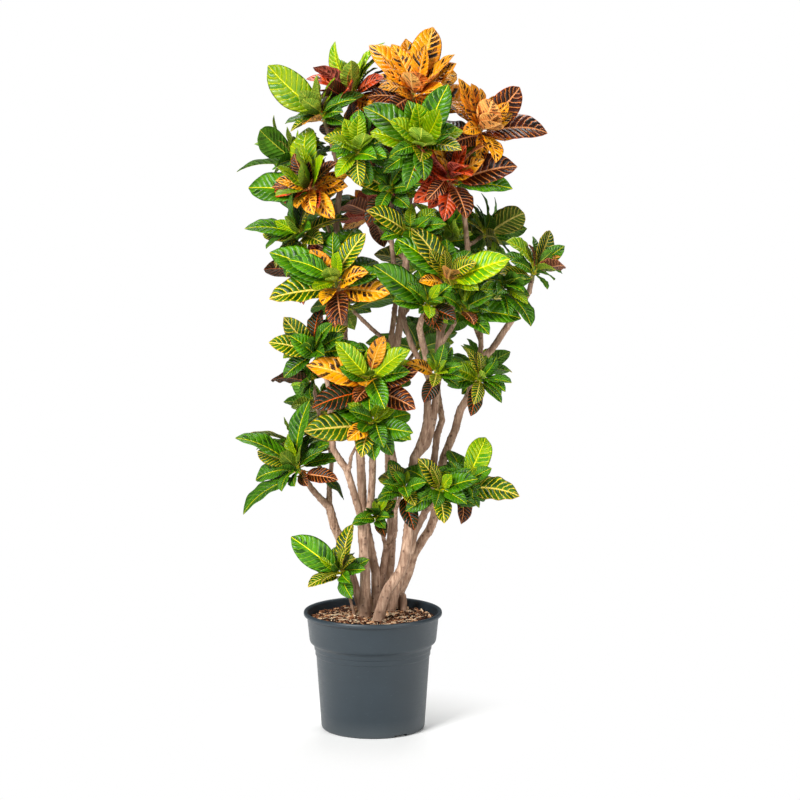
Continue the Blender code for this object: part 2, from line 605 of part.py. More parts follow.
def find_place(owner, seat, base, wish, canes, placed):
    """The leaf at the first nudge of (heading, rise, length) that touches nothing."""
    heading, rise, length = wish
    _, _, root, corners = seat
    for turn, lift, share in NUDGES:
        tip = base + aim(heading + turn, min(rise + lift, 88)) * length * share * MM
        leaf = (root, tip, facing_of(base), corners)
        whole = whole_leaf(leaf, LEAF_GAP / 2 * MM)
        if min(point.z for point in whole[0][4:]) < LOWEST_LEAF * MM:
            continue
        frames = leaf_frames(leaf, (0.3, 0.5, 0.75, 1))
        half = (tip - root).length * LEAF_SLENDERNESS
        marks = [place + across * half * side
                 for place, across, _ in frames for side in (-0.8, 0, 0.8)]
        if any(canes.find_nearest(mark, LEAF_GAP * MM)[0] for mark in marks):
            continue
        new = obstacle(owner, whole, near_leaf(leaf), blade_only(leaf))
        if tree_of(whole_leaf(leaf, 0.3 * MM)).overlap(canes) or new[5].overlap(canes):
            continue
        if not meets(new, placed):
            placed.append(new)
            return leaf
    return None


def wished_leaves(name, order):
    """A shoot's leaves as (heading, rise, length) in three lists: those set by hand,
    those of its own growth, and small ones that fill what gaps are left."""
    count, length, by_hand = SHOOTS[name]
    spare = count - len(by_hand)
    grown, fillers = [], []
    for number in range(spare):
        age = (number + 0.5) / spare
        rise = OUTER_RISE + (INNER_RISE - OUTER_RISE) * age
        size = length * (1 - (1 - YOUNGEST_SHARE) * age)
        grown.append(((order * 47 + number * GOLDEN_ANGLE) % 360, rise, size))
    for number in range(round(count * FILLER_SHARE)):
        rise = FILLER_RISES[number % len(FILLER_RISES)]
        turn = order * 61 + 30 + number * GOLDEN_ANGLE
        fillers.append((turn % 360, rise, length * FILLER_LENGTH))
    return by_hand, grown, fillers


def shoot_ring(base, axis, height, radius, turn):
    """One five-sided ring of a shoot's green stem."""
    side = axis.orthogonal().normalized()
    other = axis.cross(side)
    made = []
    for corner in range(SHOOT_SIDES):
        angle = turn + 2 * math.pi * corner / SHOOT_SIDES
        made.append(base + axis * height * MM
                    + (side * math.cos(angle) + other * math.sin(angle)) * radius * MM)
    return made


def stem_rings(end, axis, radius, count):
    """The rings of a shoot's green stem, one level for each pair of leaves."""
    levels = (count + 1) // 2
    base = end + axis * SEAT_GAP * MM
    return [shoot_ring(base, axis, 3 + level * LEAF_LEVEL if level else 0,
                       radius * (1 - 0.25 * level / levels), 0.35 * level)
            for level in range(levels + 1)]


def bud_tip(rings):
    """The point of the bud that closes a shoot's stem."""
    top, below = (sum(ring, Vector()) / SHOOT_SIDES for ring in (rings[-1], rings[-2]))
    return top + (top - below).normalized() * BUD_HEIGHT * MM


def stem_body(rings):
    """A shoot's stem and bud as points and faces, to keep leaves off."""
    points = [point for ring in rings for point in ring] + [bud_tip(rings)]
    faces = []
    for first in range(0, len(points) - 1, SHOOT_SIDES):
        for side in range(SHOOT_SIDES):
            low, after = first + side, first + (side + 1) % SHOOT_SIDES
            if first < len(points) - 1 - SHOOT_SIDES:
                faces.append((low, after, after + SHOOT_SIDES, low + SHOOT_SIDES))
            else:
                faces.append((low, after, len(points) - 1))
    return points, faces


def seats(rings):
    """Every side of the stem that can carry a leaf: (level, side, middle, corners)."""
    made = []
    for level in range(len(rings) - 1):
        low, high = rings[level], rings[level + 1]
        for side in range(SHOOT_SIDES):
            after = (side + 1) % SHOOT_SIDES
            corners = (low[side], low[after], high[after], high[side])
            made.append((level, side, sum(corners, Vector()) / 4, corners))
    return made


def nearest_seat(wish, rings, free):
    """The free side that faces the leaf's way, low for a low leaf."""
    heading, rise, _ = wish
    wanted_level = (len(rings) - 1) * min(max(rise, 0), 80) / 80
    way = aim(heading, 0)

    def misfit(seat):
        level, side, _, corners = seat
        outward = (corners[1] - corners[0]).cross(corners[3] - corners[0]).normalized()
        return abs(level + 0.5 - wanted_level) * LEVEL_WEIGHT - outward.dot(way)
    return min(free, key=misfit)


def place_leaves(limb_ends, canes):
    """For each shoot its rings and leaves, hand-set leaves of all shoots first. The
    small fillers come last and never sit on the lowest level, next to the cane."""
    plans = {}
    placed = []
    for name in SHOOTS:
        end, axis, radius = limb_ends[name]
        rings = stem_rings(end, axis, radius, SHOOTS[name][0])
        plans[name] = (rings, seats(rings), [])
        stem = stem_body(rings)
        placed.append(obstacle(name, stem, stem, stem))
    for stage in range(3):
        for order, name in enumerate(SHOOTS):
            rings, free, leaves = plans[name]
            for wish in wished_leaves(name, order)[stage]:
                seat = nearest_seat(wish, rings, [s for s in free if s[0] or stage < 2])
                leaf = find_place(name, seat, limb_ends[name][0], wish, canes, placed)
                if leaf:
                    free.remove(seat)
                    leaves.append((seat, leaf))
    return plans


def build_shoot(name, plan, collection, material):
    """A green stem with a bud, and its leaves drawn out of its sides, as one mesh."""
    rings, _, leaves = plan
    shape = bmesh.new()
    points = [[shape.verts.new(point) for point in ring] for ring in rings]
    bud = shape.verts.new(bud_tip(rings))
    shape.faces.new(reversed(points[0]))
    carried = {seat[:2]: leaf for seat, leaf in leaves}
    for level in range(len(rings) - 1):
        for side in range(SHOOT_SIDES):
            after = (side + 1) % SHOOT_SIDES
            corners = (points[level][side], points[level][after],
                       points[level + 1][after], points[level + 1][side])
            if (level, side) in carried:
                add_leaf(shape, corners, carried[level, side])
            else:
                shape.faces.new(corners)
    for side in range(SHOOT_SIDES):
        shape.faces.new((points[-1][side], points[-1][(side + 1) % SHOOT_SIDES], bud))
    bmesh.ops.triangulate(shape, faces=shape.faces)
    mesh = bpy.data.meshes.new(name)
    shape.to_mesh(mesh)
    shape.free()
    return link_mesh(name, mesh, collection, material)


def add_leaf(shape, corners, leaf):
    """Lofts a leaf from the four corners of its seat through its rings to its tip."""
    outline = leaf_rings(leaf)
    shift = least_twist([corner.co for corner in corners], outline[0])
    points = corners[shift:] + corners[:shift]
    points += tuple(shape.verts.new(point) for ring in outline for point in ring)
    points += (shape.verts.new(leaf[1]),)
    for face in loft_faces(3):
        shape.faces.new([points[i] for i in face])


def cane_tree(canes):
    """One search tree over the surfaces of all canes."""
    points, faces = [], []
    for cane in canes:
        first = len(points)
        points += [vertex.co.copy() for vertex in cane.data.vertices]
        faces += [[first + i for i in face.vertices] for face in cane.data.polygons]
    return BVHTree.FromPolygons(points, faces)


def ends_of_limbs():
    """For each shoot the end of its limb, the limb's way there, and its radius."""
    made = {}
    for limbs in CANES.values():
        for route, shoot in limbs:
            if shoot:
                last, before = (Vector(point) for point in smooth_route(route)[:-3:-1])
                end, start = last.xyz * MM, before.xyz * MM
                made[shoot] = (end, (end - start).normalized(), last[3])
    return made


def main():
    clear_scene()
    bpy.context.scene.unit_settings.system = "METRIC"
    parts = new_collection("Potted croton", bpy.context.scene.collection)
    helpers = new_collection("Cutters", bpy.context.scene.collection, rendered=False)
    plastic = new_material("anthracite_polypropylene", (0.055, 0.068, 0.082), 0.5)
    mix = new_material("bark_potting_mix", (0.12, 0.06, 0.035), 0.95)
    bark = new_material("croton_bark", (0.3, 0.19, 0.13), 0.85)
    green = new_material("leaf_green", (0.07, 0.19, 0.03), 0.4)
    gold = new_material("leaf_gold", (0.72, 0.4, 0.06), 0.4)
    red = new_material("leaf_red", (0.4, 0.07, 0.04), 0.4)
    build_pot(parts, helpers, plastic)
    build_mix(parts, mix)
    canes = [build_cane(name, limbs, parts, bark) for name, limbs in CANES.items()]
    plans = place_leaves(ends_of_limbs(), cane_tree(canes))
    for name, plan in plans.items():
        tint = gold if name in GOLD_SHOOTS else red if name in RED_SHOOTS else green
        build_shoot(name, plan, parts, tint)


main()
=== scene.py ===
"""The looks of a potted croton: a branched, many-stemmed plant in a nursery container."""

import json
import math
import random

import bmesh
import bpy
import numpy as np
from mathutils import Matrix, Vector, kdtree

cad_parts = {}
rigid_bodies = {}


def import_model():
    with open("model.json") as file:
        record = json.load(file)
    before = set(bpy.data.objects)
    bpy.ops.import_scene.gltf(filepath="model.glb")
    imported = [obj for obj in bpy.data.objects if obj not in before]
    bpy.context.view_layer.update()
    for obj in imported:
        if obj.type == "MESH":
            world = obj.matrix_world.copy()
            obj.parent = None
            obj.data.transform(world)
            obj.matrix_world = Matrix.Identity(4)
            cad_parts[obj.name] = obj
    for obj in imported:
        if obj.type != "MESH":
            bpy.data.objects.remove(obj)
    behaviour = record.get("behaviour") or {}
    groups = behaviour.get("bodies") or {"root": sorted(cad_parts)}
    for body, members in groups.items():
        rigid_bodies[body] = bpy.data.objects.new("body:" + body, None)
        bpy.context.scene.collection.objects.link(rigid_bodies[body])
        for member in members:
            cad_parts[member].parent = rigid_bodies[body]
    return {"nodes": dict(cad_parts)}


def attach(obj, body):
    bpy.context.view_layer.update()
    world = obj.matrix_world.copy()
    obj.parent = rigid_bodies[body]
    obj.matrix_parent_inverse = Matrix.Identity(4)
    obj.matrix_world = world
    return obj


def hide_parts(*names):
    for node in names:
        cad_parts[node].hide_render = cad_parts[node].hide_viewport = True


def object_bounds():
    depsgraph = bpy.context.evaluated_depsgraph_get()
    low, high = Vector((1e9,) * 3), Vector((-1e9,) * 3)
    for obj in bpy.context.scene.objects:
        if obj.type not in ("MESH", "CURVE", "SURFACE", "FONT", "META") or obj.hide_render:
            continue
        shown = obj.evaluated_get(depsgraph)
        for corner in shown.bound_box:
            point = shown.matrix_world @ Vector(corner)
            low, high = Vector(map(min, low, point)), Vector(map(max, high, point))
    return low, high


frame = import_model()
cad_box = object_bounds()


# --- Camera, floor and light --------------------------------------------------------
# A catalogue shot: a long lens at chest height looking slightly down, a seamless white
# floor that ends in nothing, and large soft boxes from the left, the right and above.

CAMERA_PLACE = (0.053, -4.9, 1.28)
CAMERA_PITCH = 7.36
LENS_MM = 114.9
FLOOR_RADIUS, FLOOR_SIDES = 25, 96
FADE_FROM, FADE_TO = 0.11, 0.36
AMBIENT = 0.155
SOFT_BOXES = (
    ("key_box", (-2.4, -3.2, 3.0), (0, 0, 0.8), 1.7, 290),
    ("fill_box", (2.9, -2.6, 1.7), (0, 0, 0.7), 2.0, 62),
    ("top_box", (0.2, 1.5, 3.6), (0, 0, 0.9), 2.0, 100),
)


def linear(code):
    """The linear colour of an sRGB hex code."""
    parts = (int(code[i:i + 2], 16) / 255 for i in (1, 3, 5))
    return (*(p / 12.92 if p <= 0.04045 else ((p + 0.055) / 1.055) ** 2.4
              for p in parts), 1)


def new_finish(name):
    """A material and its main shader."""
    finish = bpy.data.materials.new(name)
    finish.use_nodes = True
    return finish, finish.node_tree.nodes["Principled BSDF"]


def add(finish, kind, *values, named=None, **settings):
    """Adds a node. A value that is a node or a socket is linked, any other is set."""
    tree = finish.node_tree
    made = tree.nodes.new("ShaderNode" + kind)
    for setting, value in settings.items():
        setattr(made, setting, value)
    for place, value in [*enumerate(values), *(named or {}).items()]:
        if isinstance(value, bpy.types.Node):
            value = value.outputs[0]
        if isinstance(value, bpy.types.NodeSocket):
            tree.links.new(value, made.inputs[place])
        elif value is not None:
            made.inputs[place].default_value = value
    return made


def link(finish, node, shader, socket):
    """Leads a node's first output to a socket of the shader."""
    finish.node_tree.links.new(node.outputs[0], shader.inputs[socket])


def put(name, mesh):
    """A new object with this mesh, lamp or camera, in the scene."""
    made = bpy.data.objects.new(name, mesh)
    bpy.context.scene.collection.objects.link(made)
    return made


lens = bpy.data.cameras.new("camera")
lens.sensor_width = 36
lens.lens = LENS_MM
camera = put("camera", lens)
camera.location = CAMERA_PLACE
camera.rotation_euler = (math.radians(90 - CAMERA_PITCH), 0, 0)
bpy.context.scene.camera = camera
bpy.context.scene.view_settings.view_transform = "Standard"

for name, place, target, size, power in SOFT_BOXES:
    lamp = bpy.data.lights.new(name, "AREA")
    lamp.size = size
    lamp.energy = power
    box = put(name, lamp)
    box.location = place
    box.rotation_euler = (Vector(target) - Vector(place)).to_track_quat("-Z", "Y").to_euler()

world = bpy.data.worlds.new("white_studio")
bpy.context.scene.world = world
world.use_nodes = True
world.node_tree.nodes["Background"].inputs["Strength"].default_value = AMBIENT
seen = add(world, "LightPath").outputs["Is Camera Ray"]
strength = add(world, "MapRange", seen, 0, 1, AMBIENT, 1)
world.node_tree.nodes["Background"].inputs["Color"].default_value = (1, 1, 1, 1)
world.node_tree.links.new(strength.outputs[0],
                          world.node_tree.nodes["Background"].inputs["Strength"])

floor_mesh = bpy.data.meshes.new("floor")
corners = [(FLOOR_RADIUS * math.cos(math.tau * i / FLOOR_SIDES),
            FLOOR_RADIUS * math.sin(math.tau * i / FLOOR_SIDES), 0)
           for i in range(FLOOR_SIDES)]
floor_mesh.from_pydata(corners, [], [list(range(FLOOR_SIDES))])
floor = put("floor", floor_mesh)
paper, shader = new_finish("matt_white_paper")
shader.inputs["Base Color"].default_value = linear("#F7F7F6")
shader.inputs["Roughness"].default_value = 0.9
shader.inputs["Specular IOR Level"].default_value = 0.1
place = add(paper, "TexCoord").outputs["Object"]
away = add(paper, "VectorMath", place, operation="LENGTH").outputs["Value"]
faded = add(paper, "MapRange", away, FADE_FROM, FADE_TO, 0, 1, interpolation_type="SMOOTHSTEP")
glow = add(paper, "Emission", (1, 1, 1, 1), 1)
seen = add(paper, "LightPath").outputs["Is Camera Ray"]
ended = add(paper, "Math", faded, seen, operation="MULTIPLY")
blend = add(paper, "MixShader", ended, shader, glow)
paper.node_tree.links.new(blend.outputs[0],
                          paper.node_tree.nodes["Material Output"].inputs["Surface"])
floor_mesh.materials.append(paper)


# --- Nursery pot ----------------------------------------------------------------------
# A round grower's container, moulded in anthracite polypropylene. It has a
# rolled rim, a stepped stacking band, a raised foot ring and three drain slots.

MM = 0.001
POT_STEPS = 160
POT_OUTSIDE = (
    (0, 0), (30, 0), (34, 3.5), (84, 3.5), (88, 0), (97, 0), (100.3, 1.8), (101.5, 6),
    (111, 145), (112.6, 146.5), (112.8, 156), (114.6, 157.5), (115.2, 165),
    (118.5, 169), (122.5, 172), (124, 176), (129, 223), (132.5, 223.4), (135, 225),
    (135.5, 228.5), (134.5, 232), (132.5, 233), (130, 232.4), (127.6, 230))
POT_INSIDE = (
    (127, 226), (122, 176.4), (120.4, 174), (116.8, 171), (113.2, 166.4),
    (112.6, 159), (110.8, 157.6), (110.6, 148), (109, 145.6), (99.6, 10),
    (97, 6.5), (0, 6.5))
EASED_MM = 0.55
SHARP_DEGREES = 28
SLOT_HEADINGS = (-57, 63, 183)
SLOT_MM, SLOT_PLACE_MM, SLOT_ROUNDING_MM = (22, 30, 6), (95, 0, 2), 1.2
HOLE_RADIUS_MM, HOLE_DEPTH_MM, HOLE_PLACE_MM = 4.5, 6, (90, 0, 6)


def eased(profile, reach):
    """The profile with each corner cut back by at most the reach."""
    points = [Vector(point) for point in profile]
    made = [points[0]]
    for before, corner, after in zip(points, points[1:], points[2:]):
        for other in (before, after):
            way = other - corner
            made.append(corner + way * min(0.25, reach / way.length))
    return made + [points[-1]]


def turned(name, profile, steps):
    """A closed solid turned about Z from a profile in millimetres that meets the axis."""
    shape = bmesh.new()
    rings = []
    for radius, height in profile:
        count = steps if radius > 1e-6 else 1
        rings.append([shape.verts.new((radius * MM * math.cos(math.tau * i / steps),
                                       radius * MM * math.sin(math.tau * i / steps),
                                       height * MM)) for i in range(count)])
    for low, high in zip(rings, rings[1:]):
        for i in range(steps):
            after = (i + 1) % steps
            face = [low[i % len(low)], low[after % len(low)],
                    high[after % len(high)], high[i % len(high)]]
            shape.faces.new(list(dict.fromkeys(face)))
    bmesh.ops.recalc_face_normals(shape, faces=shape.faces)
    mesh = bpy.data.meshes.new(name)
    shape.to_mesh(mesh)
    shape.free()
    return mesh


def flattened(thing):
    """The thing with the mesh that its modifiers make."""
    graph = bpy.context.evaluated_depsgraph_get()
    mesh = bpy.data.meshes.new_from_object(thing.evaluated_get(graph))
    thing.modifiers.clear()
    thing.data = mesh
    return thing


def soften(mesh, degrees):
    """Smooth shading, with an edge kept sharp where its faces turn by more than this."""
    shape = bmesh.new()
    shape.from_mesh(mesh)
    for face in shape.faces:
        face.smooth = True
    for edge in shape.edges:
        edge.smooth = len(edge.link_faces) != 2 or edge.calc_face_angle(0) < math.radians(degrees)
    shape.to_mesh(mesh)
    shape.free()


pot = put("nursery_pot_moulding", turned("pot", eased(eased(
    POT_OUTSIDE + POT_INSIDE, EASED_MM), EASED_MM / 3), POT_STEPS))
cutters = []
for heading in SLOT_HEADINGS:
    turn = Matrix.Rotation(math.radians(heading), 4, "Z")
    slot = bmesh.new()
    bmesh.ops.create_cube(slot, size=1,
                          matrix=turn @ Matrix.Translation(Vector(SLOT_PLACE_MM) * MM)
                          @ Matrix.Diagonal((*(side * MM for side in SLOT_MM), 1)))
    bmesh.ops.bevel(slot, geom=slot.edges[:], offset=SLOT_ROUNDING_MM * MM, segments=2,
                    affect="EDGES")
    hole = bmesh.new()
    bmesh.ops.create_cone(hole, cap_ends=True, segments=32, radius1=HOLE_RADIUS_MM * MM,
                          radius2=HOLE_RADIUS_MM * MM, depth=HOLE_DEPTH_MM * MM,
                          matrix=turn @ Matrix.Translation(Vector(HOLE_PLACE_MM) * MM))
    for name, shape in (("slot", slot), ("hole", hole)):
        mesh = bpy.data.meshes.new(name)
        shape.to_mesh(mesh)
        shape.free()
        cutters.append(put(name, mesh))
for cutter in cutters:
    cut = pot.modifiers.new("cut", "BOOLEAN")
    cut.operation = "DIFFERENCE"
    cut.solver = "EXACT"
    cut.object = cutter
bpy.context.view_layer.update()
flattened(pot)
for cutter in cutters:
    bpy.data.objects.remove(cutter, do_unlink=True)
soften(pot.data, SHARP_DEGREES)

# Moulded polypropylene: satin, with the fine grain of the mould, paler scuffs where
# pots rub together, and a paler grey blended in towards the foot.
GRAIN_MM, SCUFF_MM, CLOUD_MM = 0.9, 14, 60
plastic, shader = new_finish("moulded_anthracite_polypropylene")
place = add(plastic, "TexCoord").outputs["Object"]
grain = add(plastic, "TexNoise", place, named={"Scale": 1 / (GRAIN_MM * MM), "Detail": 3})
stretched = add(plastic, "Mapping", place, named={"Scale": (1, 1, 5)})
scuff = add(plastic, "TexNoise", stretched,
            named={"Scale": 1 / (SCUFF_MM * MM), "Detail": 8, "Roughness": 0.7})
scuffed = add(plastic, "MapRange", scuff, 0.6, 0.78, 0, 0.3)
cloud = add(plastic, "TexNoise", place, named={"Scale": 1 / (CLOUD_MM * MM), "Detail": 2})
body = add(plastic, "MixRGB", cloud, linear("#222D34"), linear("#2A363E"))
worn = add(plastic, "MixRGB", scuffed, body, linear("#66737C"))
# The lowest 35 mm are blended towards a paler grey, up to a third of the way at the very foot.
height = add(plastic, "SeparateXYZ", place).outputs["Z"]
low = add(plastic, "MapRange", height, 0.035, 0, 0, 0.35)
paler_foot = add(plastic, "MixRGB", low, worn, linear("#5A5F60"))
link(plastic, paler_foot, shader, "Base Color")
satin = add(plastic, "MapRange", scuff, 0.3, 0.75, 0.36, 0.52)
link(plastic, satin, shader, "Roughness")
relief = add(plastic, "Bump", 0.25, 0.0003, named={"Height": grain.outputs["Fac"]})
link(plastic, relief, shader, "Normal")
pot.data.materials.clear()
pot.data.materials.append(plastic)
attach(pot, "root")
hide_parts("nursery_pot")


# --- Potting mix ------------------------------------------------------------------------
# Coarse bark and coir filled to a finger below the rim and heaped a little round the
# canes: chips of composted bark, loose fibres and pale flecks of wood.

MIX_EDGE, MIX_TOP, MOUND = 125.2, 222.5, 6.5
MIX_INSIDE = ((0, 7.2), (96, 7.2), (108.2, 146), (109.8, 158.5), (112.2, 167),
              (121, 177), (MIX_EDGE, MIX_TOP - MOUND))
MIX_RINGS, MIX_STEPS = 46, 150
CRUMB_MM, HEAVE_MM, GRIT_MM = 7, 6, 2.6
CHIPS, CHIP_REACH = 2200, 118
FIBRES, FIBRE_REACH = 220, 92
mix_draw = random.Random(41)


def mix_height(radius):
    """The height of the mix at a radius, both in millimetres: a low mound."""
    return MIX_TOP - MOUND * (radius / MIX_EDGE) ** 2


top_radii = [MIX_EDGE * (1 - k / MIX_RINGS) for k in range(1, MIX_RINGS + 1)]
top_rings = [(radius, mix_height(radius)) for radius in top_radii]
mix = put("potting_mix_bark", turned("mix", MIX_INSIDE + tuple(top_rings), MIX_STEPS))
crumbs = bpy.data.textures.new("crumbs", "CLOUDS")
crumbs.noise_scale = CRUMB_MM * MM
crumbs.noise_depth = 3
rough = mix.vertex_groups.new(name="top")
edge_height = (MIX_TOP - MOUND - 0.2) * MM
rough.add([v.index for v in mix.data.vertices if v.co.z > edge_height], 1, "REPLACE")
heave = mix.modifiers.new("heave", "DISPLACE")
heave.texture = crumbs
heave.texture_coords = "GLOBAL"
heave.direction = "Z"
heave.strength = HEAVE_MM * MM
heave.mid_level = 0.6
heave.vertex_group = "top"
flattened(mix)


def gather(name, pieces, tone_name):
    """One mesh of many (points, faces, tone), with the tone kept on each point."""
    points, faces, tones = [], [], []
    for piece_points, piece_faces, tone in pieces:
        first = len(points)
        points += piece_points
        faces += [[first + i for i in face] for face in piece_faces]
        tones += [tone] * len(piece_points)
    mesh = bpy.data.meshes.new(name)
    mesh.from_pydata([tuple(point) for point in points], [], faces)
    mesh.attributes.new(tone_name, "FLOAT", "POINT").data.foreach_set("value", tones)
    return mesh


def bark_chip(draw):
    """A split flake of bark: a lozenge block with every corner knocked about."""
    long = draw.uniform(1.6, 6.4)
    size = (long, long * draw.uniform(0.3, 0.7), long * draw.uniform(0.14, 0.35))
    turn = (Matrix.Rotation(draw.uniform(0, math.tau), 4, "Z")
            @ Matrix.Rotation(draw.gauss(0, 0.38), 4, "X")
            @ Matrix.Rotation(draw.gauss(0, 0.38), 4, "Y"))
    radius = CHIP_REACH * math.sqrt(draw.random())
    heading = draw.uniform(0, math.tau)
    middle = Vector((radius * math.cos(heading), radius * math.sin(heading),
                     mix_height(radius) + draw.uniform(-0.8, 1.8)))
    points = []
    for z in (-1, 1):
        for x, y in ((-1, -0.5), (0, -1), (1, -0.4), (0.9, 0.5), (0, 1), (-0.9, 0.4)):
            corner = Vector((x * size[0], y * size[1], z * size[2])) * draw.uniform(0.7, 1.1)
            points.append((middle + turn.to_3x3() @ corner) * MM)
    faces = [(5, 4, 3, 2, 1, 0), (6, 7, 8, 9, 10, 11)]
    faces += [(i, (i + 1) % 6, (i + 1) % 6 + 6, i + 6) for i in range(6)]
    return points, faces, draw.random()


def coir_fibre(draw):
    """A loose coir fibre: a thin bent strand that lies on the chips."""
    radius = FIBRE_REACH * math.sqrt(draw.random())
    heading, way = draw.uniform(0, math.tau), draw.uniform(0, math.tau)
    length, thick, bend = draw.uniform(10, 30), draw.uniform(0.25, 0.5), draw.uniform(-0.9, 0.9)
    spine = Vector((radius * math.cos(heading), radius * math.sin(heading),
                    mix_height(radius) + draw.uniform(1.6, 3.2)))
    points, faces, joints = [], [], 6
    for k in range(joints):
        step = Vector((math.cos(way + bend * k / joints), math.sin(way + bend * k / joints),
                       draw.uniform(-0.12, 0.12)))
        side = step.cross(Vector((0, 0, 1))).normalized()
        for corner in range(4):
            angle = math.tau * corner / 4
            points.append((spine + side * thick * math.cos(angle)
                           + Vector((0, 0, thick * math.sin(angle)))) * MM)
        if k:
            faces += [(4 * k - 4 + i, 4 * k - 4 + (i + 1) % 4, 4 * k + (i + 1) % 4, 4 * k + i)
                      for i in range(4)]
        spine = spine + step * length / joints
    faces += [(3, 2, 1, 0), tuple(4 * joints - 4 + i for i in range(4))]
    return points, faces, 1.2 + draw.random() * 0.3


chips = put("chips", gather("chips", [bark_chip(mix_draw) for _ in range(CHIPS)], "tone"))
fibres = put("fibres", gather("fibres", [coir_fibre(mix_draw) for _ in range(FIBRES)], "tone"))


def join(name, parts):
    """One object from several, under this name."""
    bpy.ops.object.select_all(action="DESELECT")
    for part in parts:
        part.select_set(True)
    bpy.context.view_layer.objects.active = parts[0]
    bpy.ops.object.join()
    parts[0].name = name
    return parts[0]


# Composted bark and coir: dry and matt, from near black through fox brown to pale wood,
# each chip of one tone with the grain of the bark along it.
mulch, shader = new_finish("composted_bark_and_coir")
tone = add(mulch, "Attribute", attribute_name="tone").outputs["Fac"]
place = add(mulch, "TexCoord").outputs["Object"]
crumb = add(mulch, "TexNoise", place,
            named={"Scale": 1 / (GRIT_MM * MM), "Detail": 6, "Roughness": 0.65})
spread = add(mulch, "Math", add(mulch, "Math", crumb, 0.5, operation="SUBTRACT"), 0.5,
             operation="MULTIPLY")
toned = add(mulch, "Math", tone, spread, operation="ADD")
ramp = add(mulch, "ValToRGB", toned)
ramp.color_ramp.elements[0].color = linear("#20120A")
ramp.color_ramp.elements[1].color = linear("#EBD2B0")
for stop, code in ((0.3, "#3A2216"), (0.55, "#6A412A"), (0.76, "#945F3C"), (0.9, "#C99A70")):
    ramp.color_ramp.elements.new(stop).color = linear(code)
link(mulch, ramp, shader, "Base Color")
shader.inputs["Roughness"].default_value = 0.88
shader.inputs["Specular IOR Level"].default_value = 0.25
relief = add(mulch, "Bump", 0.7, 0.0008, named={"Height": crumb.outputs["Fac"]})
link(mulch, relief, shader, "Normal")
mix.data.attributes.new("tone", "FLOAT", "POINT").data.foreach_set(
    "value", [0.22] * len(mix.data.vertices))
mix = join("potting_mix_bark", [mix, chips, fibres])
mix.data.materials.clear()
mix.data.materials.append(mulch)
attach(mix, "root")
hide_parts("potting_mix")


# --- Canes ------------------------------------------------------------------------------
# Old croton wood: smooth greige bark, swollen a little at each fork, with the scars of
# fallen leaves in loose spirals and short cracks along the grain.

CANES = ("front_cane", "dark_cane", "left_cane", "stump_cane", "right_front_cane",
         "right_cane", "middle_cane", "back_cane", "young_sprout_stem", "pruned_stub")
VOXEL_MM, ROUNDING, REGAIN_MM = 2.0, 12, 0.55
GNARL_MM, LUMP_MM = 22, 1.4
SCAR_SPACING_MM, SCAR_REACH_MM, SCAR_LIFT_MM = 9, 3.3, 1.0

gnarl = bpy.data.textures.new("gnarl", "CLOUDS")
gnarl.noise_scale = GNARL_MM * MM
gnarl.noise_depth = 2


def rounded_wood(node):
    """The cane's wood from its frame solid: evened out, rounded, and gnarled."""
    mesh = frame["nodes"][node].data.copy()
    shape = bmesh.new()
    shape.from_mesh(mesh)
    bmesh.ops.remove_doubles(shape, verts=shape.verts, dist=1e-5)
    shape.to_mesh(mesh)
    shape.free()
    wood = put(node + "_wood", mesh)
    even = wood.modifiers.new("even", "REMESH")
    even.mode = "VOXEL"
    even.voxel_size = VOXEL_MM * MM
    smooth = wood.modifiers.new("smooth", "SMOOTH")
    smooth.iterations = ROUNDING
    regain = wood.modifiers.new("regain", "DISPLACE")
    regain.strength = REGAIN_MM * MM
    regain.mid_level = 0
    lumps = wood.modifiers.new("lumps", "DISPLACE")
    lumps.texture = gnarl
    lumps.texture_coords = "GLOBAL"
    lumps.strength = LUMP_MM * MM
    bpy.context.view_layer.update()
    return flattened(wood)


def scar(wood, draw):
    """Raises leaf scars over the wood, and marks each point by how near a scar it is."""
    mesh = wood.data
    count = len(mesh.vertices)
    points = np.empty(count * 3)
    mesh.vertices.foreach_get("co", points)
    points = points.reshape(-1, 3)
    normals = np.empty(count * 3)
    mesh.vertex_normals.foreach_get("vector", normals)
    normals = normals.reshape(-1, 3)
    tree = kdtree.KDTree(count)
    for index, point in enumerate(points):
        tree.insert(point, index)
    tree.balance()
    marks, taken = np.zeros(count), np.zeros(count, bool)
    order = list(range(count))
    draw.shuffle(order)
    for index in order:
        if taken[index] or draw.random() < 0.5:
            continue
        for _, other, _ in tree.find_range(points[index],
                                           SCAR_SPACING_MM * MM * draw.uniform(0.7, 1.7)):
            taken[other] = True
        depth = draw.uniform(0.15, 0.95)
        for _, other, gap in tree.find_range(points[index], SCAR_REACH_MM * MM):
            marks[other] = max(marks[other], depth * (1 - gap / (SCAR_REACH_MM * MM)) ** 0.7)
    ridge = np.sin(marks * math.pi) * 0.7 + marks * 0.3
    points = points + normals * (ridge * SCAR_LIFT_MM * MM)[:, None]
    mesh.vertices.foreach_set("co", points.ravel())
    mesh.attributes.new("scar", "FLOAT", "POINT").data.foreach_set("value", marks)
    mesh.polygons.foreach_set("use_smooth", [True] * len(mesh.polygons))
    mesh.update()


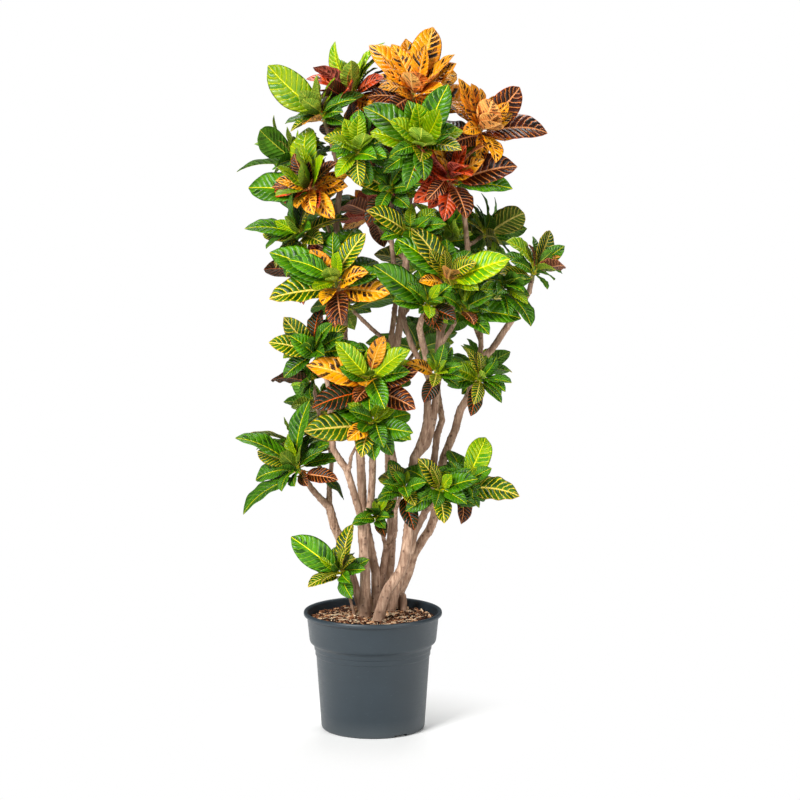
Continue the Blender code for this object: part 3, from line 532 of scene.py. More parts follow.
# Croton bark: matt and thin, pinkish greige with darker scars and patches; the fibres
# under it show as streaks lengthwise, about 4 mm apart and ten times as long.
STREAK_MM, PATCH_MM, CRACK_MM = 4, 34, 1.6
bark, shader = new_finish("croton_bark")
place = add(bark, "TexCoord").outputs["Object"]
lengthwise = add(bark, "Mapping", place, named={"Scale": (1, 1, 0.13)})
streak = add(bark, "TexNoise", lengthwise,
             named={"Scale": 1 / (STREAK_MM * MM), "Detail": 5, "Roughness": 0.6})
patch = add(bark, "TexNoise", place, named={"Scale": 1 / (PATCH_MM * MM), "Detail": 4})
crack = add(bark, "TexNoise", add(bark, "Mapping", place, named={"Scale": (1, 1, 0.4)}),
            named={"Scale": 1 / (CRACK_MM * MM), "Detail": 4, "Roughness": 0.7})
tint = add(bark, "ValToRGB", streak)
tint.color_ramp.elements[0].position = 0.3
tint.color_ramp.elements[0].color = linear("#7C5B46")
tint.color_ramp.elements[1].position = 0.72
tint.color_ramp.elements[1].color = linear("#DDBDA2")
tint.color_ramp.elements.new(0.5).color = linear("#B5937B")
patched = add(bark, "MixRGB", add(bark, "MapRange", patch, 0.45, 0.66, 0, 0.75), tint,
              linear("#7F624E"))
cracked = add(bark, "MixRGB", add(bark, "MapRange", crack, 0.58, 0.72, 0, 0.7), patched,
              linear("#5B4234"))
near = add(bark, "Attribute", attribute_name="scar").outputs["Fac"]
scarred = add(bark, "MixRGB", add(bark, "MapRange", near, 0.2, 0.75, 0, 0.8), cracked,
              linear("#4A342B"))
link(bark, scarred, shader, "Base Color")
shader.inputs["Roughness"].default_value = 0.82
shader.inputs["Specular IOR Level"].default_value = 0.3
ridges = add(bark, "Math", streak, crack, operation="ADD")
relief = add(bark, "Bump", 0.55, 0.0012, named={"Height": ridges})
link(bark, relief, shader, "Normal")

for number, node in enumerate(CANES):
    wood = rounded_wood(node)
    scar(wood, random.Random(700 + number))
    wood.data.materials.clear()
    wood.data.materials.append(bark)
    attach(wood, "root")
    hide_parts(node)


# --- Leaf blades ------------------------------------------------------------------------
# Croton leaves are thick, waxy and stiff. Each kind has a coloured ground, blotches in
# the panels between its side veins, and veins, midrib and margin in other colours.

SIDE_VEINS = 10
VEIN_SWEEP = 1.7
LEAF_KINDS = {
    "green": dict(ground="#2C5E08", other="#4C850F", blotch="#1C4008", vein="#88B22A",
                  midrib="#E6DE3C", margin="#6B9C1E", base="#5C8E18", vein_width=0.11,
                  midrib_width=0.05, margin_width=0.03, blotches=0.3, spread=0.5,
                  base_share=0.15),
    "lime": dict(ground="#93AE1A", other="#6A9A16", blotch="#4A8812", vein="#DDE040",
                 midrib="#E6E650", margin="#B4C42A", base="#B9C832", vein_width=0.17,
                 midrib_width=0.06, margin_width=0.035, blotches=0.45, spread=0.6,
                 base_share=0.3),
    "cream": dict(ground="#30560C", other="#4A7210", blotch="#1C3C08", vein="#ECD45C",
                  midrib="#EFD778", margin="#DFA84A", base="#D9C04A", vein_width=0.3,
                  midrib_width=0.1, margin_width=0.07, blotches=0.6, spread=0.8,
                  base_share=0.2),
    "gold": dict(ground="#F4B65C", other="#EE984E", blotch="#1C1410", vein="#F6BE6C",
                 midrib="#F8C878", margin="#CF5A2E", base="#C94A2C", vein_width=0.2,
                 midrib_width=0.1, margin_width=0.05, blotches=0.75, spread=0.6,
                 base_share=0.3),
    "dusk": dict(ground="#141D0B", other="#22300E", blotch="#0B1006", vein="#C65F38",
                 midrib="#D9714A", margin="#93301A", base="#6E2415", vein_width=0.13,
                 midrib_width=0.06, margin_width=0.035, blotches=0.5, spread=0.6,
                 base_share=0.15),
    "ember": dict(ground="#2E1A10", other="#4B1E12", blotch="#170E09", vein="#DC8D5E",
                  midrib="#E9A67A", margin="#D25C34", base="#A83822", vein_width=0.24,
                  midrib_width=0.09, margin_width=0.06, blotches=0.6, spread=0.7,
                  base_share=0.25),
    "coral": dict(ground="#C75040", other="#DA6E54", blotch="#34100E", vein="#D97C62",
                  midrib="#DE9078", margin="#97301F", base="#B84A38", vein_width=0.26,
                  midrib_width=0.08, margin_width=0.035, blotches=0.9, spread=0.55,
                  base_share=0.25),
}
UNDERSIDES = {"green": "#6F8F3A", "lime": "#A9B65A", "cream": "#9AA050", "gold": "#D89A5C",
              "dusk": "#7A4A36", "ember": "#A8694A", "coral": "#C9705C"}


def leaf_finish(kind, under):
    """A leaf's upper or under side. Its pattern follows the blade: the share of its
    length, the share across from -1 to 1, and a number of the leaf's own."""
    look = LEAF_KINDS[kind]
    finish, shader = new_finish(f"waxy_{kind}_leaf_" + ("underside" if under else "top"))
    blade = add(finish, "Attribute", attribute_name="blade").outputs["Vector"]
    along, across, own = add(finish, "SeparateXYZ", blade).outputs
    breadth = add(finish, "Attribute", attribute_name="breadth").outputs["Fac"]
    out = add(finish, "Math", across, operation="ABSOLUTE")
    side = add(finish, "Math", across, 0, operation="GREATER_THAN")
    seed = add(finish, "Math", own, 37, operation="MULTIPLY")
    drift = add(finish, "CombineXYZ", along, across, seed)
    waver = add(finish, "TexNoise", drift, named={"Scale": 5, "Detail": 3})
    # Side veins leave the midrib at a slant and turn up towards the margin.
    swept = add(finish, "Math", add(finish, "Math", out, 1.25, operation="POWER"),
                -VEIN_SWEEP, operation="MULTIPLY")
    phase = add(finish, "Math", along, SIDE_VEINS, swept, operation="MULTIPLY_ADD")
    phase = add(finish, "Math", side, 0.45, phase, operation="MULTIPLY_ADD")
    phase = add(finish, "Math", waver, 0.55, phase, operation="MULTIPLY_ADD")
    phase = add(finish, "Math", own, 5, phase, operation="MULTIPLY_ADD")
    panel = add(finish, "Math", phase, operation="FLOOR")
    inside = add(finish, "Math", phase, operation="FRACT")
    centred = add(finish, "Math", inside, 0.5, operation="SUBTRACT")
    off = add(finish, "Math", add(finish, "Math", centred, operation="ABSOLUTE"), 2,
              operation="MULTIPLY")  # 0 in the middle of a panel, 1 on a vein
    dice = add(finish, "TexWhiteNoise", add(finish, "CombineXYZ", panel, side, seed),
               noise_dimensions="3D")
    first, second, third = add(finish, "SeparateXYZ", dice.outputs["Color"]).outputs
    # The ground runs between two colours over the leaf.
    flow = add(finish, "TexNoise", drift, named={"Scale": 2.2, "Detail": 4})
    mixed = add(finish, "MapRange", flow, 0.35, 0.65, 0, 1, interpolation_type="SMOOTHSTEP")
    colour = add(finish, "MixRGB", mixed, linear(look["ground"]), linear(look["other"]))
    # Blotches fill part of a panel, each from its own start to its own end.
    start = add(finish, "Math", second, 0.3, operation="MULTIPLY")
    length = add(finish, "Math", third, look["spread"], 0.25, operation="MULTIPLY_ADD")
    end = add(finish, "Math", start, length, operation="ADD")
    opened = add(finish, "MapRange", add(finish, "Math", out, start, operation="SUBTRACT"),
                 0, 0.07, 0, 1, interpolation_type="SMOOTHSTEP")
    closed = add(finish, "MapRange", add(finish, "Math", end, out, operation="SUBTRACT"),
                 0, 0.1, 0, 1, interpolation_type="SMOOTHSTEP")
    ragged = add(finish, "Math", waver, 0.35, off, operation="MULTIPLY_ADD")
    kept = add(finish, "MapRange", ragged, 0.8, 0.95, 1, 0, interpolation_type="SMOOTHSTEP")
    mood = add(finish, "TexWhiteNoise", seed, noise_dimensions="1D", named={"W": seed})
    likely = add(finish, "MapRange", mood, 0, 1, 0.5 * look["blotches"],
                 1.25 * look["blotches"])
    there = add(finish, "Math", first, likely, operation="LESS_THAN")
    blotch = add(finish, "Math", add(finish, "Math", opened, closed, operation="MULTIPLY"),
                 add(finish, "Math", kept, there, operation="MULTIPLY"), operation="MULTIPLY")
    colour = add(finish, "MixRGB", blotch, colour, linear(look["blotch"]))
    # Veins thin out towards the margin.
    wide = look["vein_width"]
    taper = add(finish, "Math", out, 0.5 * wide, off, operation="MULTIPLY_ADD")
    taper = add(finish, "Math", taper, 0.5 * wide, operation="SUBTRACT")
    vein = add(finish, "MapRange", taper, 1 - 1.3 * wide, 1 - 0.35 * wide, 0, 1,
               interpolation_type="SMOOTHSTEP")
    colour = add(finish, "MixRGB", vein, colour, linear(look["vein"]))
    # The base of the blade, the margin and the midrib take their own colours.
    low = add(finish, "MapRange", along, look["base_share"], 0, 0, 0.8,
              interpolation_type="SMOOTHSTEP")
    colour = add(finish, "MixRGB", low, colour, linear(look["base"]))
    inset = add(finish, "Math", add(finish, "Math", 1, out, operation="SUBTRACT"), breadth,
                operation="MULTIPLY")
    edge = add(finish, "MapRange", inset, look["margin_width"], 0, 0, 0.85,
               interpolation_type="SMOOTHSTEP")
    colour = add(finish, "MixRGB", edge, colour, linear(look["margin"]))
    middle = add(finish, "Math", out, breadth, operation="MULTIPLY")
    narrow = add(finish, "Math", along, -0.6 * look["midrib_width"], look["midrib_width"],
                 operation="MULTIPLY_ADD")
    rib = add(finish, "Math", middle, narrow, operation="DIVIDE")
    rib = add(finish, "MapRange", rib, 1.2, 0.6, 0, 1, interpolation_type="SMOOTHSTEP")
    colour = add(finish, "MixRGB", rib, colour, linear(look["midrib"]))
    if under:
        colour = add(finish, "MixRGB", 0.22, colour, linear(UNDERSIDES[kind]))
    # Each leaf is a little brighter or deeper than its neighbours.
    bright = add(finish, "MapRange", own, 0, 1, 0.7, 1.25)
    colour = add(finish, "HueSaturation", 0.5, 1.0 if under else 1.13, bright, 1, colour)
    link(finish, colour, shader, "Base Color")
    gloss = add(finish, "MapRange", waver, 0.3, 0.7, 0.5 if under else 0.27,
                0.66 if under else 0.42)
    link(finish, gloss, shader, "Roughness")
    shader.inputs["Specular IOR Level"].default_value = 0.2 if under else 0.36
    # Panels swell between sunken veins above; below, the veins stand out.
    swell = add(finish, "Math", off, 2.2, operation="POWER")
    swell = add(finish, "Math", swell, -1, 1, operation="MULTIPLY_ADD")
    relief = add(finish, "Bump", 0.65, 0.0026, named={"Height": swell}, invert=under)
    link(finish, relief, shader, "Normal")
    return finish


FINISHES = {(kind, under): leaf_finish(kind, under) for kind in LEAF_KINDS
            for under in (False, True)}

STALK_SHARE = 0.09
BLADE_HALF_SHARE = 0.237
COLUMNS = np.array((-1, -0.87, -0.58, -0.27, -0.05, 0, 0.05, 0.27, 0.58, 0.87, 1))
BLADE_RINGS, STALK_RINGS = 32, 4
FOLD, DROOP = 0.36, 0.17
CAD_SHARES = (0.38, 0.72)


def blade_outline(share):
    """Half the blade's width at a share of its length, where the widest is 1."""
    share = np.clip(share, 0, 1)
    width = share ** 0.75 * (1 - share) ** 0.8 / 0.3417
    drip = np.clip((share - 0.87) / 0.13, 0, 1)
    return width * (1 - 0.3 * drip * drip * (3 - 2 * drip))


def leaf_mesh(root, crest, tip, across, draw):
    """A leaf as a loft of rings: (points, blade values, breadths, upper faces, lower faces)."""
    stalk = np.linspace(-0.02, STALK_SHARE, STALK_RINGS + 1)[:-1]
    steps = np.linspace(0, 1, BLADE_RINGS + 1)[:-1]
    steps = 0.5 * steps + 0.25 * (1 - np.cos(math.pi * steps)) + 1e-3
    share = np.concatenate((stalk, STALK_SHARE + (1 - STALK_SHARE) * steps))[:, None]
    blade = (share - STALK_SHARE) / (1 - STALK_SHARE)
    middle = (1 - share) ** 2 * root + 2 * share * (1 - share) * crest + share ** 2 * tip
    along = (1 - share) * (crest - root) + share * (tip - crest)
    along /= np.linalg.norm(along, axis=1, keepdims=True)
    up = np.cross(across, along)
    up /= np.linalg.norm(up, axis=1, keepdims=True)
    length = np.linalg.norm(tip - root)
    turn = math.radians(draw.uniform(-11, 11)) * np.clip(blade, 0, 1)
    right = across * np.cos(turn) + up * np.sin(turn)
    up = up * np.cos(turn) - across * np.sin(turn)
    sway = draw.uniform(-0.025, 0.025) * length * np.sin(math.pi * np.clip(blade, 0, 1))
    curl = draw.uniform(0.0, 0.07) * length * np.clip((blade - 0.55) / 0.45, 0, 1) ** 2
    middle = middle + right * sway - up * curl
    outline = blade_outline(blade)
    half = outline * length * BLADE_HALF_SHARE * draw.uniform(0.92, 1.06)
    columns = COLUMNS[None, :]
    far = np.abs(columns)
    fold = FOLD * draw.uniform(0.7, 1.35)
    waves, phase = draw.uniform(2.2, 4.2), draw.uniform(0, math.tau)
    depth = draw.uniform(0.02, 0.09)
    ripple = depth * far ** 2 * np.sin(math.tau * waves * blade + phase
                                       + (columns > 0) * draw.uniform(1, 3))
    lift = half * (fold * far - DROOP * far ** 2 + ripple)
    thick = (0.00035 + 0.0003 * (1 - np.clip(blade, 0, 1))) * np.sqrt(1 - far ** 2)
    groove = np.where(far < 0.01, 0.0003, 0)
    rib = np.where(far < 0.06, 0.0011 * (1 - 0.8 * np.clip(blade, 0, 1)), 0)
    upper = np.stack(np.broadcast_arrays(half * columns, lift + thick - groove), 2)
    lower = np.stack(np.broadcast_arrays(half * columns, lift - thick - rib), 2)
    ring = np.concatenate((upper, lower[:, -2:0:-1]), 1)
    count = ring.shape[1]
    angles = math.pi - math.tau * np.arange(count) / count
    girth = 0.0013 + 0.0009 * np.clip(1 - share / 0.035, 0, 1)
    circle = np.stack((girth * np.cos(angles), girth * np.sin(angles)), 2)
    shift = np.clip(blade / 0.09, 0, 1)[:, :, None]
    shift = shift * shift * (3 - 2 * shift)
    ring = circle * (1 - shift) + ring * shift
    points = (middle[:, None] + right[:, None] * ring[:, :, :1] + up[:, None] * ring[:, :, 1:])
    rings = len(share)
    end = middle[-1] + (middle[-1] - middle[-2]) * 0.6
    points = np.concatenate((points.reshape(-1, 3), end[None], middle[:1]))
    own = draw.random()
    spread = np.concatenate((COLUMNS, COLUMNS[-2:0:-1]))
    values = np.empty((rings, count, 3))
    values[:, :, 0] = np.clip(blade, 0, 1)
    values[:, :, 1] = spread[None]
    values[:, :, 2] = own
    values = np.concatenate((values.reshape(-1, 3), ((1, 0, own), (0, 0, own))))
    breadths = np.concatenate((np.repeat(outline, count), (0, 0)))
    top_faces, low_faces = [], []
    half_count = len(COLUMNS) - 1
    for first in range(0, (rings - 1) * count, count):
        for k in range(count):
            face = (first + k, first + (k + 1) % count,
                    first + count + (k + 1) % count, first + count + k)
            (top_faces if k < half_count else low_faces).append(face)
    last = (rings - 1) * count
    for k in range(count):
        (top_faces if k < half_count else low_faces).append(
            (last + k, last + (k + 1) % count, rings * count))
        low_faces.append(((k + 1) % count, k, rings * count + 1))
    return points, values, breadths, top_faces, low_faces


# --- Shoots -----------------------------------------------------------------------------
# Each shoot is the live end of a limb: a soft green stem with a leaf at every turn, the
# youngest standing round the bud. The leaves lie where the frame's plain leaves lie.

# The main kind of leaf of each shoot, and the kinds of leaves at set (heading, rise).
COLOURING = {
    "shoot_crown_top": ("gold", ((-165, 70, "gold"), (180, 55, "gold"), (30, 75, "gold"),
                                 (30, 35, "gold"), (10, 10, "gold"), (125, 20, "ember"),
                                 (150, 0, "dusk"), (-130, -35, "dusk"))),
    "shoot_crown_left": ("ember", ((180, 75, "lime"), (20, 60, "lime"), (25, 45, "coral"),
                                   (-165, 40, "coral"), (-40, 35, "coral"))),
    "shoot_left_high": ("green", ((180, 45, "lime"), (180, 25, "lime"), (-130, 0, "gold"),
                                  (-75, 60, "dusk"))),
    "shoot_left_outer": ("green", ((180, 80, "dusk"), (150, 55, "lime"))),
    "shoot_left_red": ("ember", ((-130, 45, "cream"), (-35, 15, "gold"), (165, 5, "green"),
                                 (115, 70, "lime"))),
    "shoot_centre_high": ("green", ((-75, 65, "lime"),)),
    "shoot_centre_back": ("green", ()),
    "shoot_coral": ("coral", ((45, 60, "lime"), (-150, 55, "ember"), (-10, 20, "ember"),
                              (10, 30, "lime"), (-15, 0, "green"))),
    "shoot_crown_right": ("gold", ((5, 50, "ember"), (-5, 5, "ember"), (155, 15, "dusk"),
                                   (-15, 35, "gold"), (115, -15, "dusk"))),
    "shoot_crown_front": ("green", ((-105, 50, "lime"), (125, 65, "dusk"),
                                    (55, 65, "lime"))),
    "shoot_left_mid": ("green", ((-165, 45, "ember"),)),
    "shoot_left_gold": ("green", ((-175, 30, "green"), (-165, -5, "cream"),
                                  (-160, 55, "gold"), (-30, 0, "gold"), (-55, 20, "gold"),
                                  (-110, -15, "gold"), (-35, 60, "cream"), (35, 30, "green"),
                                  (65, 55, "green"), (-90, -45, "ember"), (75, -15, "ember"))),
    "shoot_left_low": ("green", ((-170, 50, "cream"), (-165, 20, "cream"),
                                 (85, 75, "dusk"))),
    "shoot_centre_gold": ("green", ((-150, 55, "lime"), (-165, 25, "gold"), (-45, 70, "gold"),
                                    (-90, 15, "gold"), (-30, 45, "lime"), (50, 60, "lime"),
                                    (-15, 25, "ember"), (-25, -15, "ember"),
                                    (-155, -10, "dusk"), (-110, -5, "ember"))),
    "shoot_low_left": ("green", ((-30, 0, "ember"), (-65, -35, "dusk"))),
    "shoot_low_left_back": ("green", ((160, -10, "dusk"),)),
    "shoot_centre_drooping": ("green", ((-120, -10, "gold"), (-50, -20, "dusk"))),
    "shoot_low_centre": ("green", ((-80, -35, "cream"),)),
    "shoot_low_right": ("green", ((-15, 15, "cream"), (-65, -55, "ember"))),
    "shoot_low_inner": ("green", ((-60, -50, "dusk"),)),
    "shoot_low_small": ("green", ((-75, -20, "dusk"),)),
    "shoot_sprout": ("green", ((35, 75, "cream"), (-80, 65, "cream"), (-145, -5, "cream"))),
    "shoot_mid_centre": ("green", ((-65, -25, "dusk"),)),
    "shoot_mid_gold": ("cream", ((150, 60, "cream"), (-120, 55, "cream"), (-25, 25, "lime"),
                                 (-45, 20, "lime"), (55, 45, "gold"), (-140, 15, "gold"))),
    "shoot_right_high": ("green", ()),
    "shoot_right_tip": ("green", ((-105, 65, "ember"), (-45, 20, "ember"),
                                  (-145, 10, "cream"), (-55, 45, "gold"))),
    "shoot_right_lower": ("green", ()),
    "shoot_mid_right": ("green", ((-30, 5, "dusk"),)),
    "shoot_right_low": ("green", ((-105, -60, "dusk"),)),
    "shoot_centre_small": ("green", ((-150, 25, "gold"), (-75, 40, "lime"),
                                     (-115, -40, "dusk"))),
    "shoot_left_inner": ("green", ((-140, 10, "dusk"),)),
    "shoot_back_high": ("coral", ((0, 40, "ember"), (120, 40, "gold"))),
    "shoot_back_left": ("ember", ((90, 40, "gold"), (180, 30, "lime"))),
    "shoot_back_top": ("dusk", ((90, 40, "gold"), (0, 50, "ember"), (180, 40, "lime"))),
    "shoot_back_high_right": ("green", ((60, 40, "gold"), (120, 30, "cream"))),
}
# Leaves that the table leaves open: how often each kind turns up beside the main one.
STRAYS = {
    "green": ("green", "green", "green", "green", "lime", "green", "green", "cream"),
    "gold": ("gold", "gold", "ember", "gold", "gold"),
    "cream": ("cream", "green", "gold", "green", "cream", "green"),
    "ember": ("ember", "dusk", "ember", "gold", "coral"),
    "dusk": ("dusk", "green", "dusk", "ember"),
    "coral": ("coral", "ember", "coral", "gold"),
}
LOW_STRAYS = ("green", "green", "dusk", "green", "ember", "green")
YOUNG_KINDS = {"green": "lime", "cream": "cream", "gold": "gold", "ember": "lime", "dusk": "lime",
               "coral": "coral"}
NEAR_AIM = 21
TIP_ANGLE = math.radians(200)
CROWN_MIDDLE = Vector((0.05, 0.045, 0))
# Leaves added to each shoot: how many, how long beside its own, and how far they lean
# from the stem. Some shoots have a taller tuft or less room than the others.
YOUNG_LEAVES, SPARE_LEAVES = 4, 13
TALL_SHARE, YOUNG_SHARE = 1.05, 0.65
TALL_YOUNG = {"shoot_crown_top": 9, "shoot_crown_right": 7, "shoot_crown_left": 6,
              "shoot_coral": 6, "shoot_left_red": 6, "shoot_crown_front": 6,
              "shoot_centre_high": 5, "shoot_left_high": 5}
FEW_SPARE = {"shoot_left_gold": 5, "shoot_mid_gold": 6, "shoot_centre_gold": 8,
             "shoot_left_low": 9, "shoot_low_left": 5, "shoot_low_left_back": 5,
             "shoot_crown_top": 7, "shoot_crown_right": 8}
YOUNG_LEANS, OUTER_LEANS = (0.25, 0.5, 0.8), (0.9, 1.3)
SPARE_LEANS = (0.9, 1.5, 2.6, 8, -4)
WAYS = 18
CLEARANCE = 0.0048
BOX_MARGIN = 0.004
MOST_ROLL = math.radians(26)


def read_shoot(node):
    """A shoot's stem and leaves, read from the plain shapes of its frame solid."""
    shape = bmesh.new()
    shape.from_mesh(frame["nodes"][node].data)
    bmesh.ops.remove_doubles(shape, verts=shape.verts, dist=1e-5)
    around = {v: [e.other_vert(v) for e in v.link_edges] for v in shape.verts}
    leaves, used, bud = [], set(), None
    for vert in shape.verts:
        sharp = sum(loop.calc_angle() for loop in vert.link_loops) < TIP_ANGLE
        if sharp and len(around[vert]) == 5:
            bud = vert
        if not sharp or len(around[vert]) != 4:
            continue
        ring = around[vert]
        lower = {other for v in ring for other in around[v]} - set(ring) - {vert}
        if len(lower) != 4:
            continue
        used |= {vert, *ring, *lower}
        places = []
        for four in (lower, ring):
            pairs = [(a, b) for a in four for b in four if a.index < b.index]
            left, right = max(pairs, key=lambda pair: (pair[0].co - pair[1].co).length)
            rest = [v for v in four if v not in (left, right)]
            places.append((rest[0].co + rest[1].co) / 2)
        raised = (left.co + right.co) / 2 - places[1]
        tip = vert.co
        # The midrib is a quadratic curve through both places to the tip.
        rows = [((1 - s) ** 2, 2 * s * (1 - s), s * s) for s in CAD_SHARES]
        left_sides = [place - tip * row[2] for place, row in zip(places, rows)]
        ground = rows[0][0] * rows[1][1] - rows[0][1] * rows[1][0]
        root = (left_sides[0] * rows[1][1] - left_sides[1] * rows[0][1]) / ground
        crest = (left_sides[1] * rows[0][0] - left_sides[0] * rows[1][0]) / ground
        across = (right.co - left.co).normalized()
        if across.cross(tip - root).dot(raised) < 0:
            across = -across
        leaves.append([np.array(v) for v in (root, crest, tip, across)])
    stem = [v for v in shape.verts if v not in used and v is not bud]
    bud_place = bud.co.copy()
    base_ring = sorted(stem, key=lambda v: -(v.co - bud_place).length)[:5]
    base = sum((v.co for v in base_ring), Vector()) / 5
    radius = sum((v.co - base).length for v in base_ring) / 5
    shape.free()
    return base, bud_place, radius, leaves


def kind_of(node, base, tip, draw):
    """The kind of the leaf: that of the set aim nearest its own, or one at random."""
    main, exceptions = COLOURING.get(node, ("green", ()))
    way = (Vector(tip) - base).normalized()
    best, closest = None, math.radians(NEAR_AIM)
    for heading, rise, kind in exceptions:
        turn, lift = math.radians(heading), math.radians(rise)
        aim = Vector((math.cos(turn) * math.cos(lift), math.sin(turn) * math.cos(lift),
                      math.sin(lift)))
        gap = way.angle(aim)
        if gap < closest:
            best, closest = kind, gap
    low = main == "green" and way.z < -0.1
    return best or draw.choice(LOW_STRAYS if low else STRAYS[main])


# Young croton wood: green and waxy below the leaves, browner where the bark begins.
soft_wood, shader = new_finish("green_croton_shoot")
place = add(soft_wood, "TexCoord").outputs["Object"]
fine = add(soft_wood, "TexNoise", add(soft_wood, "Mapping", place, named={"Scale": (1, 1, 0.3)}),
           named={"Scale": 1 / (3 * MM), "Detail": 4})
age = add(soft_wood, "Attribute", attribute_name="breadth").outputs["Fac"]
aged = add(soft_wood, "Math", add(soft_wood, "Math", fine, 0.5, operation="SUBTRACT"), age,
           operation="ADD")
young = add(soft_wood, "MixRGB", aged, linear("#6F9A2C"), linear("#8C7350"))
link(soft_wood, young, shader, "Base Color")
shader.inputs["Roughness"].default_value = 0.55
relief = add(soft_wood, "Bump", 0.4, 0.0006, named={"Height": fine.outputs["Fac"]})
link(soft_wood, relief, shader, "Normal")


def stem_mesh(base, bud, radius, draw):
    """The shoot's stem with leaf-scar swellings, closed by a pointed bud."""
    axis = bud - base
    length = axis.length
    axis.normalize()
    side = axis.orthogonal().normalized()
    other = axis.cross(side)
    rings, sides = 18, 12
    points, ages = [], []
    for k in range(rings):
        share = k / (rings - 1)
        height = -0.009 + (length + 0.009) * share
        girth = radius * (1.02 - 0.42 * share) * (1 + 0.07 * math.sin(k * 2.4))
        girth *= math.sqrt(max(1 - max(share - 0.62, 0) ** 2 / 0.148, 0.0004))
        for corner in range(sides):
            angle = math.tau * corner / sides
            points.append(base + axis * height
                          + (side * math.cos(angle) + other * math.sin(angle))
                          * girth * draw.uniform(0.97, 1.03))
            ages.append(max(0, 1 - 1.6 * share))
    faces = [tuple(range(sides))[::-1], tuple((rings - 1) * sides + i for i in range(sides))]
    for first in range(0, (rings - 1) * sides, sides):
        faces += [(first + i, first + (i + 1) % sides, first + sides + (i + 1) % sides,
                   first + sides + i) for i in range(sides)]
    return points, ages, faces


def blade_spots(root, crest, tip, across, shares, sides):
    """Points on a leaf's blade, to keep other leaves off."""
    half = np.linalg.norm(tip - root) * BLADE_HALF_SHARE
    spots = []
    for s in shares:
        spine = (1 - s) ** 2 * root + 2 * s * (1 - s) * crest + s * s * tip
        wide = half * float(blade_outline((s - STALK_SHARE) / (1 - STALK_SHARE)))
        spots += [spine + across * wide * side for side in sides]
    return spots


read = {node: read_shoot(node) for node in sorted(frame["nodes"]) if node.startswith("shoot_")}
crowd = []
for _, _, _, leaves in read.values():
    for root, crest, tip, across in leaves:
        crowd += blade_spots(root, crest, tip, across, (0.2, 0.35, 0.5, 0.65, 0.8, 0.95),
                             (-0.9, -0.45, 0, 0.45, 0.9))
for wood in bpy.data.objects:
    if wood.name.endswith("_wood"):
        crowd += [np.array(v.co) for v in list(wood.data.vertices)[::22]]


def outward_and_up(place):
    """The way that a leaf from this place likes its upper face to look."""
    away = (place - CROWN_MIDDLE) * Vector((0.5, 1, 0))
    return np.array(away.normalized() * 0.83 + Vector((0, 0, 0.55)))


def outside(place):
    """Whether the place is outside the frame's box, or nearly."""
    return any(not low - BOX_MARGIN < value < high + BOX_MARGIN
               for low, value, high in zip(cad_box[0], place, cad_box[1]))


def leaves_between(base, bud, radius, leaves, youngest, spare, share, draw):
    """Smaller leaves for the room that is left: the youngest upright round the bud, the
    others out of the stem's sides. Each takes the way in which it has the most room."""
    tree = kdtree.KDTree(len(crowd))
    for index, point in enumerate(crowd):
        tree.insert(point, index)
    tree.balance()
    axis = (bud - base).normalized()
    side = axis.orthogonal().normalized()
    other = axis.cross(side)
    facing = Vector(outward_and_up(base))
    usual = sum(np.linalg.norm(leaf[2] - leaf[0]) for leaf in leaves) / max(len(leaves), 1)
    made, fresh = [], []
    for number in range(youngest + spare):
        young = number < youngest
        length = usual * (share * draw.uniform(0.8, 1.15) if young else draw.uniform(0.7, 1.0))
        best, room = None, CLEARANCE
        for step in range(WAYS):
            angle = math.tau * step / WAYS + number * 0.7
            outward = side * math.cos(angle) + other * math.sin(angle)
            leans = SPARE_LEANS
            if young:
                leans = OUTER_LEANS if outward.dot(facing) > 0.2 else YOUNG_LEANS
            for lean in leans:
                along = (axis * math.copysign(1, lean) + outward * abs(lean)).normalized()
                root = base.lerp(bud, 0.6 if young else 0.1 + 0.7 * number
                                 / (youngest + spare))
                root = root + outward * radius * (0.4 if young else 0.75)
                tip = root + along * length
                above = axis if young else facing
                up = above - along * above.dot(along)
                if up.length < 0.2 or outside(tip):
                    continue
                up.normalize()
                crest = (root + tip) / 2 + up * length * (-0.06 if young else 0.15)
                leaf = [np.array(v) for v in (root, crest, tip, along.cross(up))]
                spots = blade_spots(*leaf, (0.3, 0.5, 0.7, 0.95), (-0.9, 0, 0.9))
                free = min(tree.find(spot)[2] for spot in spots)
                if free > room and fresh:
                    gaps = np.array(spots)[:, None] - np.array(fresh)[None]
                    free = min(free, float(np.linalg.norm(gaps, axis=2).min()))
                if free > room:
                    best, room = leaf, free
        if best is None:
            continue
        made.append((best, young))
        fresh += blade_spots(*best, (0.3, 0.45, 0.6, 0.75, 0.9), (-0.9, -0.45, 0, 0.45, 0.9))
    crowd.extend(fresh)
    return made


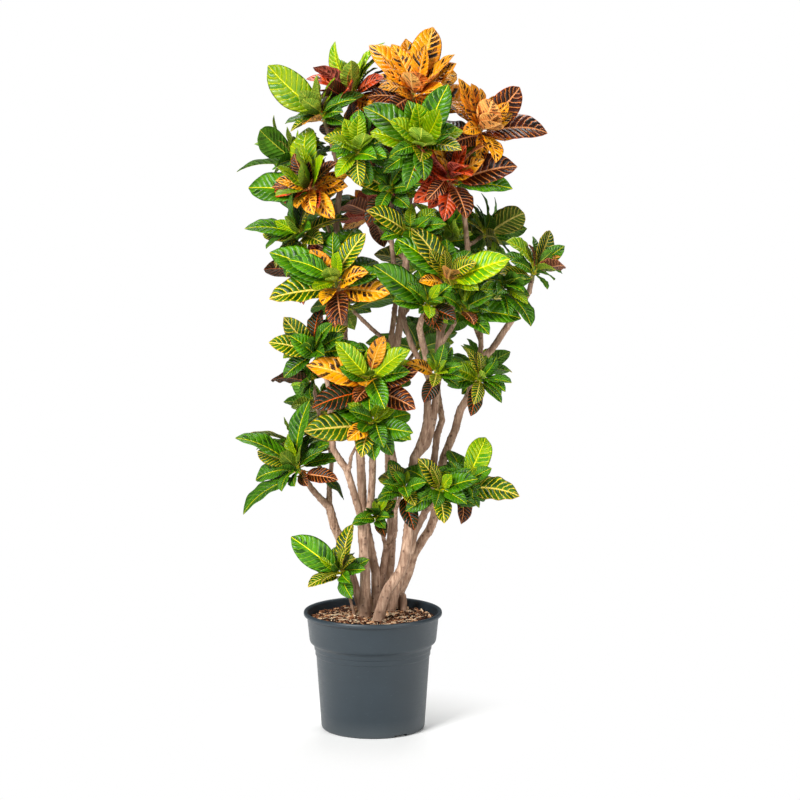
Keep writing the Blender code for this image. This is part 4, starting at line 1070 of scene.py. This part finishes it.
def turned_to_light(leaf, facing):
    """The leaf rolled about its own length, part of the way to where it would face out."""
    root, crest, tip, across = leaf
    along = (tip - root) / np.linalg.norm(tip - root)
    up = np.cross(across, along)
    angle = math.atan2(float(facing @ -across), float(facing @ up))
    angle = max(-MOST_ROLL, min(MOST_ROLL, angle * 0.6))
    return [root, crest, tip, across * math.cos(angle) + up * math.sin(angle)]


for number, (node, (base, bud, radius, leaves)) in enumerate(read.items()):
    draw = random.Random(9000 + number)
    main = COLOURING.get(node, ("green", ()))[0]
    kinds = [kind_of(node, base, leaf[2], draw) for leaf in leaves]
    extra = leaves_between(base, bud, radius, leaves, TALL_YOUNG.get(node, YOUNG_LEAVES),
                           FEW_SPARE.get(node, SPARE_LEAVES),
                           TALL_SHARE if node in TALL_YOUNG else YOUNG_SHARE, draw)
    kinds += [YOUNG_KINDS[main] if young else draw.choice(STRAYS[main]) for _, young in extra]
    leaves = leaves + [leaf for leaf, _ in extra]
    facing = outward_and_up(base)
    leaves = [turned_to_light(leaf, facing) for leaf in leaves]
    stem_points, ages, faces = stem_mesh(base, bud, radius, draw)
    points = [np.array(stem_points)]
    values, breadths = [np.zeros((len(ages), 3))], [np.array(ages)]
    marks, slots = [0] * len(faces), [soft_wood]
    total = len(stem_points)
    for leaf, kind in zip(leaves, kinds):
        leaf_points, leaf_values, leaf_breadths, top_faces, low_faces = leaf_mesh(*leaf, draw)
        for under, side_faces in ((False, top_faces), (True, low_faces)):
            finish = FINISHES[kind, under]
            if finish not in slots:
                slots.append(finish)
            faces += [tuple(total + i for i in face) for face in side_faces]
            marks += [slots.index(finish)] * len(side_faces)
        points.append(leaf_points)
        values.append(leaf_values)
        breadths.append(leaf_breadths)
        total += len(leaf_points)
    mesh = bpy.data.meshes.new(node)
    mesh.from_pydata(np.concatenate(points), [], faces)
    mesh.attributes.new("blade", "FLOAT_VECTOR", "POINT").data.foreach_set(
        "vector", np.concatenate(values).ravel())
    mesh.attributes.new("breadth", "FLOAT", "POINT").data.foreach_set(
        "value", np.concatenate(breadths))
    for finish in slots:
        mesh.materials.append(finish)
    mesh.polygons.foreach_set("material_index", marks)
    mesh.polygons.foreach_set("use_smooth", [True] * len(mesh.polygons))
    shoot = put(node + "_foliage", mesh)
    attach(shoot, "root")
    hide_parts(node)
